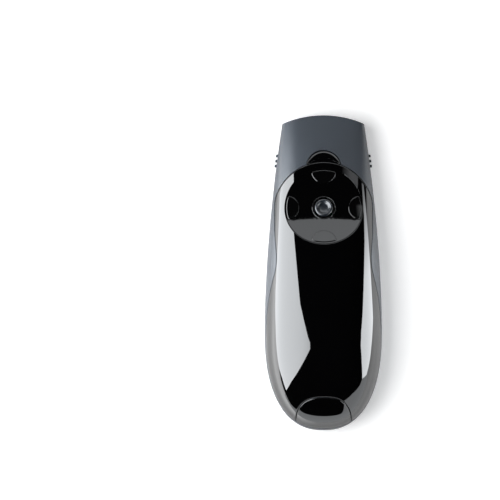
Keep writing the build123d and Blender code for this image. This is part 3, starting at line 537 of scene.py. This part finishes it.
def arch(gap):
    """Half of the receiver's arch on the skin, from its top down to the tail seam.

    In plan it is a superellipse, wider and higher by the gap, and its height is the skin's.
    """
    turn = np.linspace(math.pi / 2, 0, 600)
    x = (ARCH_HALF + gap) * np.abs(np.cos(turn)) ** (2 / ARCH_POWER)
    y = ARCH_FOOT_Y + (ARCH_TOP_Y + gap - ARCH_FOOT_Y) * np.sin(turn) ** (2 / ARCH_POWER)
    share = np.clip(x / half_width(y), 0, 1)
    z = BELT_Z + crown_rise(y) * (1 - share**SHOULDER) ** (1 / SHOULDER)
    points = np.stack([x, y, z], -1)
    return points[points[:, 2] > TAIL_SEAM_Z]


print("the arch's lower end:", arch(ARCH_GAP)[-1].round(2))

# %% The round front, and the whole outline
COVER_R, COVER_SETBACK, COVER_SIDE, COVER_SHOULDER = 19.45, 2.5, 18.1, 10.0
FRONT_LINE_FROM_Y, SEAM_PAST_FRONT_Y, SEAM_SURE_Y = -12.0, 16.0, 5.0


def front_outline():
    """The round front from the side to the middle: a line, a shoulder and a wide arc."""
    centre_x = COVER_SIDE - COVER_SHOULDER
    centre_y = math.sqrt((COVER_R - COVER_SHOULDER) ** 2 - centre_x**2) - COVER_SETBACK
    bend = math.atan2(centre_y + COVER_SETBACK, centre_x)
    line_y = np.linspace(FRONT_LINE_FROM_Y, centre_y, 120)
    shoulder, wide = np.linspace(0, bend, 80), np.linspace(bend, math.pi / 2, 200)
    x = np.r_[
        np.full(len(line_y), COVER_SIDE),
        centre_x + COVER_SHOULDER * np.cos(shoulder),
        COVER_R * np.cos(wide),
    ]
    y = np.r_[
        line_y,
        centre_y + COVER_SHOULDER * np.sin(shoulder),
        COVER_R * np.sin(wide) - COVER_SETBACK,
    ]
    return deck_to_skin(x, y)


def even_loop(half, count):
    """A closed loop of 2 x count points from its right half, mirrored, evenly spaced and eased."""
    travel = np.r_[0, np.cumsum(np.linalg.norm(np.diff(half, axis=0), axis=1))]
    even = np.linspace(0, travel[-1], count + 1)
    right = np.stack([np.interp(even, travel, half[:, k]) for k in range(3)], -1)
    loop = np.vstack([right, right[-2:0:-1] * [-1, 1, 1]])
    for _ in range(2):
        loop = (np.roll(loop, 1, 0) + 2 * loop + np.roll(loop, -1, 0)) / 4
    return onto_skin(loop)


def cover_outline(count=400):
    """The cover's outer loop: arch, tail seam, side seam and round front."""
    curve = arch(ARCH_GAP)
    tail = side_seam(np.linspace(curve[-1, 1], SEAM_Y[0], 300))
    tail = tail[tail[:, 0] > curve[-1, 0]]
    side = side_seam(np.linspace(SEAM_Y[0], SEAM_PAST_FRONT_Y, 600)[1:])
    side = side[(side[:, 0] < COVER_SIDE) | (side[:, 1] < SEAM_SURE_Y)]
    front = front_outline()
    front = front[(front[:, 2] > seam_z(front[:, 1])) & (front[:, 1] > side[-1, 1])]
    return even_loop(np.vstack([curve, tail, side, front]), count)


OUTER = cover_outline()
print("cover outline:", len(OUTER), "points,", "front at y", OUTER[:, 1].max().round(2))

# %% [markdown]
# ## Rolled edges
#
# A moulded rim is never sharp. It rolls over with a radius of a few tenths of a millimetre, and
# that roll draws the thin line of light or shadow round the dish and along the seam. A Bevel
# modifier could make it, but it is hard to keep even where the skin curves. Here the roll is part
# of the grid: seven rows on a quarter circle that stands square to the outline.

# %% Rows over an edge and over the skin
ROLL = np.linspace(0, math.pi / 2, 7)
WALL_STEEPNESS = 6
CROWDING = 0.4


def inward(loop, towards):
    """Unit directions along the skin, square to a loop, that point towards a place."""
    along = np.roll(loop, -1, 0) - np.roll(loop, 1, 0)
    across = unit(np.cross(outward(loop), along))
    side = np.sign(np.sum(across * (towards - loop), axis=-1, keepdims=True).sum())
    return across * side


def wall_down(loop, upright):
    """Unit directions of the wall under an edge: into the body, or nearly upright where asked."""
    return unit(-outward(loop) + upright[:, None] * WALL_STEEPNESS * np.array([0, 0, -1.0]))


def rolled_edge(loop, towards, down, radius):
    """Rows over a rolled edge, from its wall to the skin: a quarter circle square to the loop."""
    steps = [radius * (1 - math.cos(a)) for a in ROLL]
    sinks = [radius * (1 - math.sin(a)) for a in ROLL]
    return np.stack([onto_skin(loop + s * towards) + d * down for s, d in zip(steps, sinks)])


def between(start, end, rows):
    """Rows over the skin from one loop to another, straight in angle and length.

    A cosine mixed into the spacing crowds the rows towards the edges, where the form bends most.
    """
    share = np.linspace(0, 1, rows + 2)[1:-1]
    eased = (1 - np.cos(math.pi * share)) / 2
    share = ((1 - CROWDING) * share + CROWDING * eased)[:, None]
    angle = (1 - share) * section_angle(start) + share * section_angle(end)
    return skin(angle, (1 - share) * start[:, 1] + share * end[:, 1])


# %% [markdown]
# ## The glossy cover
#
# A real cover is a moulded shell about a millimetre and a half thick. It could be a surface with a
# Solidify modifier, but the wall would then stand square to the skin all round, and at the dish
# the real wall runs along the press direction. So the shell is one closed grid instead. It starts
# under the rim of the dish, climbs the wall, turns over the rolled edge, runs out over the skin,
# rolls down at the seam, and comes back underneath.

# %% The cover as one closed grid
DISH_HOLE_R = 14.4
NEAR_ARCH, ARCH_ENDS_Y = 1.2, -40


def dish_rim():
    """The dish's rim, with one point for each point of the outline, by its direction on the deck.

    The direction may only grow along the outline, so that no two strips of the grid cross.
    """
    deck = to_deck(OUTER)
    turn = np.unwrap(np.arctan2(deck[:, 0], -deck[:, 1]))
    half = len(turn) // 2
    turn[: half + 1] = np.maximum.accumulate(turn[: half + 1])
    turn[half + 1:] = 2 * math.pi - turn[1:half][::-1]
    return deck_to_skin(DISH_HOLE_R * np.sin(turn), -DISH_HOLE_R * np.cos(turn))


def away_from_dish(inner):
    """Unit directions from the dish's middle, laid onto the skin."""
    reach = inner - DECK_ORIGIN
    flat = unit(reach - reach @ PRESS_UP[:, None] * PRESS_UP)
    normal = outward(inner)
    return unit(flat - np.sum(flat * normal, -1, keepdims=True) * normal)


def make_cover(edge=0.28, wall=1.3):
    """The glossy cover: dish wall, rolled rim, skin, rolled seam, wall and underside."""
    inner = dish_rim()
    rim = rolled_edge(inner, away_from_dish(inner), -PRESS_UP, edge)
    beside_arch = np.clip(ARCH_HALF + NEAR_ARCH - np.abs(OUTER[:, 0]), 0, 1)
    down = wall_down(OUTER, beside_arch * (OUTER[:, 1] < ARCH_ENDS_Y))
    seam = rolled_edge(OUTER, inward(OUTER, DECK_ORIGIN), down, edge)[::-1]
    top = between(rim[-1], seam[0], 86)
    under = top[-2:0:-7] - wall * outward(top[-2:0:-7])
    return ring_piece("glossy_cover", np.concatenate([
        [inner - wall * PRESS_UP], rim, top, seam, [OUTER + wall * down], under,
    ]))


dress(make_cover(), "top_cover", "housing", "black_gloss")

# %% [markdown]
# ## The laser button
#
# The button past the cover is a crescent: its own round edge towards the nose, and the cover's
# front edge behind it. Its face is flatter than the skin round it, and a wide roll runs along its
# round edge, which catches the light as one thin line. A bevelled solid can't change its radius
# along an edge so freely. The rows are copies of the outline that draw in towards a pole, lifted
# by the face and lowered by the roll.

# %% The button's outline
BUTTON_CENTRE_Y, BUTTON_R, BUTTON_GAP = 15.0, 6.35, 0.15


def button_outline():
    """The crescent's loop: an arc beside the cover's front, and the button's own round arc.

    Both circles are centred on the deck's middle line, and the corner is where they cross.
    """
    near_r = COVER_R + BUTTON_GAP
    corner_y = (near_r**2 - BUTTON_R**2 + BUTTON_CENTRE_Y**2 - COVER_SETBACK**2) / 2
    corner_y /= BUTTON_CENTRE_Y + COVER_SETBACK
    corner_x = math.sqrt(BUTTON_R**2 - (corner_y - BUTTON_CENTRE_Y) ** 2)
    start, stop = math.asin(corner_x / near_r), math.asin((corner_y - BUTTON_CENTRE_Y) / BUTTON_R)
    near, far = np.linspace(0, start, 120), np.linspace(stop, math.pi / 2, 200)
    x = np.r_[near_r * np.sin(near), BUTTON_R * np.cos(far)]
    y = np.r_[near_r * np.cos(near) - COVER_SETBACK, BUTTON_R * np.sin(far) + BUTTON_CENTRE_Y]
    return even_loop(deck_to_skin(x, y), 120)


# %% The crescent button
BUTTON_POLE_Y, FACE_FLATTENING = 19.3, 0.45
ROLL_WIDENS_Y, ROLL_WIDENS_OVER, ROLL_EASING = 16.6, 2.5, 12


def skin_height(x, y):
    """How far the skin stands over the deck's plane at a place of the deck."""
    return (deck_to_skin(x, y) - DECK_ORIGIN) @ PRESS_UP


def on_face(place, sink):
    """Deck places as real ones: on the button's flattened face, less how far they sink."""
    middle = skin_height(np.zeros(1), np.full(1, BUTTON_POLE_Y))
    side = skin_height(place[..., 0].ravel(), np.full(place[..., 0].size, BUTTON_POLE_Y))
    height = middle + FACE_FLATTENING * (side - middle)
    return from_deck(
        np.concatenate([place, (height.reshape(place.shape[:-1]) - sink)[..., None]], -1)
    )


def make_laser_button(wide=0.9, narrow=0.25, drop=0.5, wall=1.0):
    """The laser button: pole, flattened face, a roll that is wide at the nose, and a wall."""
    plan = to_deck(button_outline())[:, :2]
    along = unit(np.roll(plan, -1, 0) - np.roll(plan, 1, 0))
    pole = np.array([0.0, BUTTON_POLE_Y])
    across = np.stack([-along[:, 1], along[:, 0]], -1)
    across *= np.sign(np.sum(across * (pole - plan), -1).sum())
    ahead = np.clip((plan[:, 1] - ROLL_WIDENS_Y) / ROLL_WIDENS_OVER, 0, 1)
    roll = narrow + (wide - narrow) * ahead
    for _ in range(ROLL_EASING):
        roll = (np.roll(roll, 1) + 2 * roll + np.roll(roll, -1)) / 4
    edge = [
        on_face(plan + (roll * (1 - math.cos(a)))[:, None] * across, drop * (1 - math.sin(a)))
        for a in np.linspace(math.pi / 2, 0, 13)
    ]
    inset = plan + roll[:, None] * across
    face = [on_face(pole + share * (inset - pole), 0.0) for share in np.linspace(0, 1, 26)[1:-1]]
    rows = np.stack([*face, *edge, on_face(plan, drop + wall)])
    bottom = on_face(pole[None], drop + wall)
    return capped_piece("crescent_button", rows, on_face(pole[None], 0.0), bottom)


dress(make_laser_button(), "laser_button", "laser_press_part", "laser_button_gloss")

# %% [markdown]
# ## The receiver's cap
#
# The arched cap at the tail is the grip of the stowed receiver. It continues the cover's skin, with
# a scoop that a thumb pulls on. A sculpting brush could press the scoop in, but the next one would
# be a different scoop. Here it is a bowl taken off along the skin's normal. The cap has no hole,
# so its rows close on a pole in the middle of the scoop, like the rings on a target.

# %% The scoop
SCOOP_Y, SCOOP_HALF, SCOOP_REACH, SCOOP_DEPTH = -50.1, 8.9, 3.6, 0.35
SCOOP_SOFTNESS, SLOPE_STEP = 1.25, 0.1


def scooped(points):
    """Sinks skin points by a bowl: depth times (1 - r squared), r measured on an ellipse.

    The power softens the bowl's rim, and the skin's slope stretches its reach along the skin.
    """
    y = points[..., 1]
    fall = crown_rise(y - SLOPE_STEP) - crown_rise(y + SLOPE_STEP)
    slope = np.hypot(1, fall / (2 * SLOPE_STEP))
    squared = (points[..., 0] / SCOOP_HALF) ** 2 + ((y - SCOOP_Y) * slope / SCOOP_REACH) ** 2
    bowl = np.clip(1 - squared, 0, None) ** SCOOP_SOFTNESS
    return points - (SCOOP_DEPTH * bowl)[..., None] * outward(points)


# %% The cap with its scoop
POLE_BEHIND_SCOOP, ARCH_WALL_ABOVE = 1.0, 0.5


def tail_end_y():
    """Where the tail seam crosses the middle line: the tail's superellipse solved for y."""
    share = (TAIL_SEAM_Z - BELT_Z) / (HEIGHT - BELT_Z)
    behind = (1 - share**HUMP_POWER) ** (1 / HUMP_POWER)
    return HUMP_Y - behind * (HUMP_Y + HALF_LENGTH) / TAIL_CUT


def make_cap(edge=0.3, wall=1.2):
    """The receiver's cap: pole, scooped skin, rolled edge, wall and a closed underside."""
    curve = arch(0.0)
    end_y = tail_end_y()
    tail = side_seam(np.linspace(curve[-1, 1], end_y, 400)[1:])
    tail = tail[tail[:, 0] < curve[-1, 0]]
    loop = even_loop(np.vstack([curve, tail, [[0, end_y, TAIL_SEAM_Z]]]), 160)
    pole = skin(np.array([math.pi / 2]), np.array([SCOOP_Y - POLE_BEHIND_SCOOP]))
    down = wall_down(loop, np.clip(loop[:, 2] - TAIL_SEAM_Z - ARCH_WALL_ABOVE, 0, 1))
    seam = rolled_edge(loop, inward(loop, pole), down, edge)[::-1]
    top = between(np.repeat(pole, len(loop), 0), seam[0], 70)
    under = top[-2:0:-9] - wall * outward(top[-2:0:-9])
    rows = np.concatenate([scooped(top), scooped(seam), [loop + wall * down], scooped(under)])
    bottom = scooped(pole - wall * outward(pole))
    return capped_piece("receiver_grip", rows, scooped(pole), bottom)


dress(make_cap(), "receiver_cap", "receiver", "black_gloss")

# %% [markdown]
# ## The joystick's cap
#
# A thumb stick ends in a soft rubber cup: a raised lip that the thumb feels, and a bowl inside it.
# The cup is the same all round, so it is a profile turned about the press direction, as on a
# lathe. Blender's Screw modifier does the same; worked out here, both poles close exactly. The
# profile is written as radius and height, and smoothed into a curve before it turns.

# %% A turned cup
CUP_PROFILE = np.array([
    (0.0, -0.95), (0.7, -0.94), (1.25, -0.88), (1.7, -0.74), (2.1, -0.46), (2.4, -0.14),
    (2.65, 0.0), (2.9, -0.03), (3.15, -0.18), (3.32, -0.42), (3.38, -0.75), (3.32, -1.15),
    (3.2, -1.55), (3.0, -2.1), (1.6, -2.2), (0.0, -2.2),
])
DISH_FLOOR, CUP_RISE = -2.6, 1.0


def turned(name, profile, top, around=96, fine=90, passes=8):
    """A surface of revolution about the deck's normal, with its profile eased into a curve."""
    share, even = np.linspace(0, 1, len(profile)), np.linspace(0, 1, fine)
    curve = np.stack([np.interp(even, share, profile[:, k]) for k in range(2)], -1)
    for _ in range(passes):
        curve[1:-1] = (curve[:-2] + 2 * curve[1:-1] + curve[2:]) / 4
    turn = np.linspace(0, 2 * math.pi, around, endpoint=False)
    radius, height = curve[1:-1, 0, None], curve[1:-1, 1, None] + 0 * turn
    rows = np.stack([radius * np.cos(turn), radius * np.sin(turn), height + top], -1)
    poles = [from_deck(np.array([[0, 0, profile[end, 1] + top]])) for end in (0, -1)]
    return capped_piece(name, from_deck(rows), *poles)


cup = turned("thumb_cup", CUP_PROFILE, DISH_FLOOR + CUP_RISE)
dress(cup, "joystick_cap", "joystick", "joystick_rubber")

# %% [markdown]
# ## The lip round the joystick's hole
#
# The dish is thin where the joystick comes through, so its hole has a small rounded lip, which
# draws a bright ring round the cap. Blender has a torus for this, but it would have to be turned
# to the deck, and a finished piece stays unturned. So the ring's points are worked out in place,
# about the same line as the cup.

# %% The lip
LIP_R, LIP_THICKNESS, LIP_HEIGHT = 4.24, 0.15, -2.38


def lip(name, radius, thickness, height, around=144, section=24):
    """A torus about the deck's normal: a small circle carried round a large one."""
    turn = np.linspace(0, 2 * math.pi, around, endpoint=False)
    roll = np.linspace(0, 2 * math.pi, section, endpoint=False)[:, None]
    reach = radius + thickness * np.cos(roll)
    level = height + thickness * np.sin(roll) + 0 * turn
    return ring_piece(name, from_deck(np.stack([
        reach * np.cos(turn), reach * np.sin(turn), level,
    ], -1)))


ring = lip("joystick_lip", LIP_R, LIP_THICKNESS, LIP_HEIGHT)
ring.data.materials.append(FINISHES["dish_gloss"])
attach(ring, "housing")

# %% [markdown]
# ## The floor
#
# The clicker lies on a white sheet. A plain white floor under enough light would burn out and lose
# the shadow. So the paper keeps a plain colour, and a faint glow for camera rays alone lifts it to
# white, which the shadow survives. Piano black mirrors the sheet at its edges, and there the sheet
# has its own glow for glossy rays: stronger on the left, where the lamp stands, and fading in with
# the distance from the clicker, which shades the paper beside it.

# %% How the paper glows
FLOOR_HALF = 3.0
PAPER_TO_CAMERA = 0.38
PAPER_IN_GLOSS, GLOSS_ACROSS = (5.8, 1.7), (-0.09, -0.005)
PAPER_FADE, SPINE_HALF = (0.021, 0.080), 0.040
PAPER_TINT = (0.98, 0.99, 1.0, 1.0)


def off_spine(tree, place):
    """Distance from the clicker's spine, a line along Y that reaches SPINE_HALF both ways.

    Folded to positive coordinates, a place less the spine's reach is what lies past its end, and
    what is left above zero is the step from the nearest point of the spine.
    """
    steps = [
        add(tree, "VectorMath", operation="ABSOLUTE"),
        add(tree, "VectorMath", {1: (0.0, SPINE_HALF, 0.0)}, operation="SUBTRACT"),
        add(tree, "VectorMath", {1: (0.0, 0.0, 0.0)}, operation="MAXIMUM"),
    ]
    for step in steps:
        tree.links.new(place, step.inputs[0])
        place = step.outputs["Vector"]
    reach = add(tree, "VectorMath", operation="LENGTH")
    tree.links.new(place, reach.inputs[0])
    return reach.outputs["Value"]


def paper_glow(tree):
    """Glow: PAPER_TO_CAMERA for camera rays, the falloffs across and off the spine for gloss."""
    path = add(tree, "LightPath")
    place = add(tree, "TexCoord").outputs["Object"]
    split = add(tree, "SeparateXYZ")
    tree.links.new(place, split.inputs["Vector"])
    across = spread(tree, split.outputs["X"], GLOSS_ACROSS, PAPER_IN_GLOSS)
    fade = spread(tree, off_spine(tree, place), PAPER_FADE)
    gloss = product(tree, product(tree, across, fade), path.outputs["Is Glossy Ray"])
    total = add(tree, "Math", {1: PAPER_TO_CAMERA}, operation="MULTIPLY_ADD")
    tree.links.new(path.outputs["Is Camera Ray"], total.inputs[0])
    tree.links.new(gloss, total.inputs[2])
    return total.outputs["Value"]


# %% The floor itself
def flat_object(name, corners):
    """One flat polygon through the corners."""
    mesh = bpy.data.meshes.new(name)
    mesh.from_pydata(corners, [], [tuple(range(len(corners)))])
    return link_object(name, mesh)


def make_floor():
    """A wide square on the ground: paper that is white to the camera and bright to the gloss."""
    signs = [(-1, -1), (1, -1), (1, 1), (-1, 1)]
    floor = flat_object("floor", [(x * FLOOR_HALF, y * FLOOR_HALF, 0) for x, y in signs])
    paper = finish("floor_paper", ((0.86, 0.86, 0.86), (0.88, 0.88, 0.88)), (0.8, 0.9))
    surface = paper.node_tree.nodes["Principled BSDF"]
    paper.node_tree.links.new(paper_glow(paper.node_tree), surface.inputs["Emission Strength"])
    surface.inputs["Emission Color"].default_value = PAPER_TINT
    floor.data.materials.append(paper)
    return floor


make_floor()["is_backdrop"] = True
print("floor in metres:", 2 * FLOOR_HALF)

# %% [markdown]
# ## The room
#
# A studio for glossy things is a dark room with a few lit surfaces. The background has to be white
# all the same. The Light Path node tells the rays apart: the world is white to the camera, an even
# grey to the diffuse light, and to reflections dark overhead and dim near the horizon.

# %% The world
SKY_BAND, SKY_IN_GLOSS, SKY_DIFFUSE, SKY_TO_CAMERA = (0.0, 0.2), (0.35, 0.004), 0.36, 1.0


def make_world():
    """White to the camera; to reflections, dark overhead and dim near the horizon."""
    world = bpy.data.worlds.new("studio")
    bpy.context.scene.world = world
    world.use_nodes = True
    tree = world.node_tree
    link = tree.links.new
    path = add(tree, "LightPath")
    split = add(tree, "SeparateXYZ")
    link(add(tree, "TexCoord").outputs["Generated"], split.inputs["Vector"])
    shown = add(tree, "Mix", {"A": SKY_DIFFUSE})
    seen = add(tree, "Mix", {"B": SKY_TO_CAMERA})
    link(path.outputs["Is Glossy Ray"], shown.inputs["Factor"])
    link(spread(tree, split.outputs["Z"], SKY_BAND, SKY_IN_GLOSS), shown.inputs["B"])
    link(shown.outputs["Result"], seen.inputs["A"])
    link(path.outputs["Is Camera Ray"], seen.inputs["Factor"])
    link(seen.outputs["Result"], tree.nodes["Background"].inputs["Strength"])
    return world


print("world:", make_world().name)

# %% [markdown]
# ## Cards that only reflections see
#
# Piano black shows the studio more than it shows its own colour: a large soft lamp at the left, a
# lit card at the right, and dim cards past the nose and the tail. In a studio such cards are cut
# to shape, because each one's outline is what the lacquer draws. So these are flat outlines made
# for reflections alone, each with the shape that its reflection needs. Area lamps could only be
# squares or discs, and they would light the paper too.

# %% A card
CARD_TINT = (0.94, 0.97, 1.0, 1.0)


def card(name, plane, outline, strengths, span=(0.0, 1.0), along="Z"):
    """A flat light panel seen by glossy rays alone.

    plane is ("X", place) or ("Y", place) in millimetres. outline lists the corners in that upright
    plane as (other ground coordinate, height). The strength runs between the two strengths as the
    coordinate called along runs over span, in millimetres.
    """
    axis, place = plane
    if axis == "X":
        corners = [(place * MM, side * MM, height * MM) for side, height in outline]
    else:
        corners = [(side * MM, place * MM, height * MM) for side, height in outline]
    panel = flat_object(name, corners)
    glow = bpy.data.materials.new(name)
    glow.use_nodes = True
    tree = glow.node_tree
    tree.nodes.clear()
    split = add(tree, "SeparateXYZ")
    tree.links.new(add(tree, "TexCoord").outputs["Object"], split.inputs["Vector"])
    strength = spread(tree, split.outputs[along], (span[0] * MM, span[1] * MM), strengths)
    emission = add(tree, "Emission", {"Color": CARD_TINT})
    outlet = add(tree, "OutputMaterial")
    tree.links.new(strength, emission.inputs["Strength"])
    tree.links.new(emission.outputs["Emission"], outlet.inputs["Surface"])
    panel.data.materials.append(glow)
    for ray in ("camera", "diffuse", "shadow", "transmission"):
        setattr(panel, "visible_" + ray, False)
    panel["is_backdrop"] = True
    print(name, "corners:", len(outline))


# %% The outlines of the cards, and the cards
LEFT_LAMP = [
    (-98, 34), (-73, 30), (-60.8, 23.5), (-45, 20), (-25.6, 14), (-11.8, 7.9), (-1.5, 6.2),
    (32.6, 10), (51, 9), (64, 34), (107, 118), (65.5, 106), (57.7, 114), (-3, 181), (-17, 216),
    (-40.6, 272), (-78, 350), (-112, 432), (-136, 430), (-119, 248), (-107, 135), (-100, 81),
]
RIGHT_CARD = [
    (64, 45), (56.6, 40), (45, 35), (30, 37), (-14.5, 57.5), (-28.6, 65.8), (-41.5, 67.8),
    (-57.5, 58.4), (-74.7, 43.2), (-64.6, 25.8), (-51.5, 20.7), (-34.6, 15.5), (-16.9, 5.6),
    (25.9, 15.6), (46.6, 23.2), (58.8, 33.6),
]
TAIL_CARD = [
    (-246, 0), (-246, 12), (-164, 18), (-115, 30), (-86, 53), (-40, 70), (3, 67), (49, 64),
    (70, 90), (85, 121), (160, 125), (264, 107), (340, 112), (600, 112), (600, 0),
]
NOSE_CARD = [(-700, 0), (900, 0), (900, 1255), (-700, 1255)]
NOSE_RIGHT_CARD = [
    (95, 236), (95, 327), (161, 323), (259, 315), (300, 310), (300, 145), (259, 156), (161, 204),
]
card("left_lamp", ("X", -95.0), LEFT_LAMP, (15.8, 10.5), (0.0, 420.0))
card("right_card", ("X", 85.0), RIGHT_CARD, (14.0, 2.2), (8.0, 64.0), along="Y")
card("nose_card", ("Y", 1200.0), NOSE_CARD, (2.7, 2.7))
card("nose_right_card", ("Y", 200.0), NOSE_RIGHT_CARD, (0.1, 1.5), (95.0, 175.0), along="X")
card("tail_card", ("Y", -200.0), TAIL_CARD, (3.0, 3.0))

# %% [markdown]
# ## Lamps for the plain light
#
# The sheet and the grey paint need a plain, soft light from above, as a softbox gives it. Both
# lamps are large, so the shadow's edge is wide. They stay out of the reflections, because the
# black cover shows none overhead.


# %% A key lamp at the left, and a weak fill
def area_lamp(name, place, aim, size, power):
    """A square area lamp that looks at a point and that reflections don't show."""
    data = bpy.data.lights.new(name, "AREA")
    data.energy = power
    data.size = size
    lamp = link_object(name, data)
    lamp.location = place
    lamp.rotation_euler = (Vector(aim) - Vector(place)).to_track_quat("-Z", "Y").to_euler()
    lamp.visible_camera = False
    lamp.visible_glossy = False
    print(name, "at", place, "watts:", power)


area_lamp("key_lamp", (-0.7, -0.05, 1.2), (0, 0, 0), 0.9, 19.0)
area_lamp("fill_lamp", (0.2, 0.1, 1.5), (0, 0, 0), 1.2, 4.0)

# %% [markdown]
# ## Camera
#
# The camera looks straight down with the nose at the top. A long lens from far away keeps the
# outline free of perspective, and the clicker sits to the right of the frame's middle. An
# orthographic camera would have no perspective at all, but a real lens keeps a trace of it.

# %% Camera over the frame's middle
PIXELS = 500
MM_PER_PIXEL = 0.372
OBJECT_AT = (323.3, 272.85)
CAMERA_HEIGHT = 1.6
REFERENCE_HEIGHT = 0.010

camera_data = bpy.data.cameras.new("camera")
camera = link_object("camera", camera_data)
bpy.context.scene.camera = camera
view_width = PIXELS * MM_PER_PIXEL * MM
right = (OBJECT_AT[0] - PIXELS / 2) * MM_PER_PIXEL * MM
down = (OBJECT_AT[1] - PIXELS / 2) * MM_PER_PIXEL * MM
camera.location = (-right, down, CAMERA_HEIGHT)
camera_data.sensor_fit = "HORIZONTAL"
camera_data.angle = 2 * math.atan(view_width / 2 / (CAMERA_HEIGHT - REFERENCE_HEIGHT))
bpy.context.scene.view_settings.view_transform = "Standard"
print("view width in mm:", round(view_width / MM, 3))

# %% [markdown]
# ## Sizes, and the end
#
# Whatever was added has to keep the real size. The box round all visible pieces is compared with
# the box of the bare solids, and the largest change is printed, so that a rim or a roll that grew
# past them would show at once.

# %% Compare the boxes and finish
low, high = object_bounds()
grown = max(abs(a - b) for a, b in zip((*low, *high), (*cad_low, *cad_high)))
print("largest change of the box in mm:", round(grown / MM, 4))
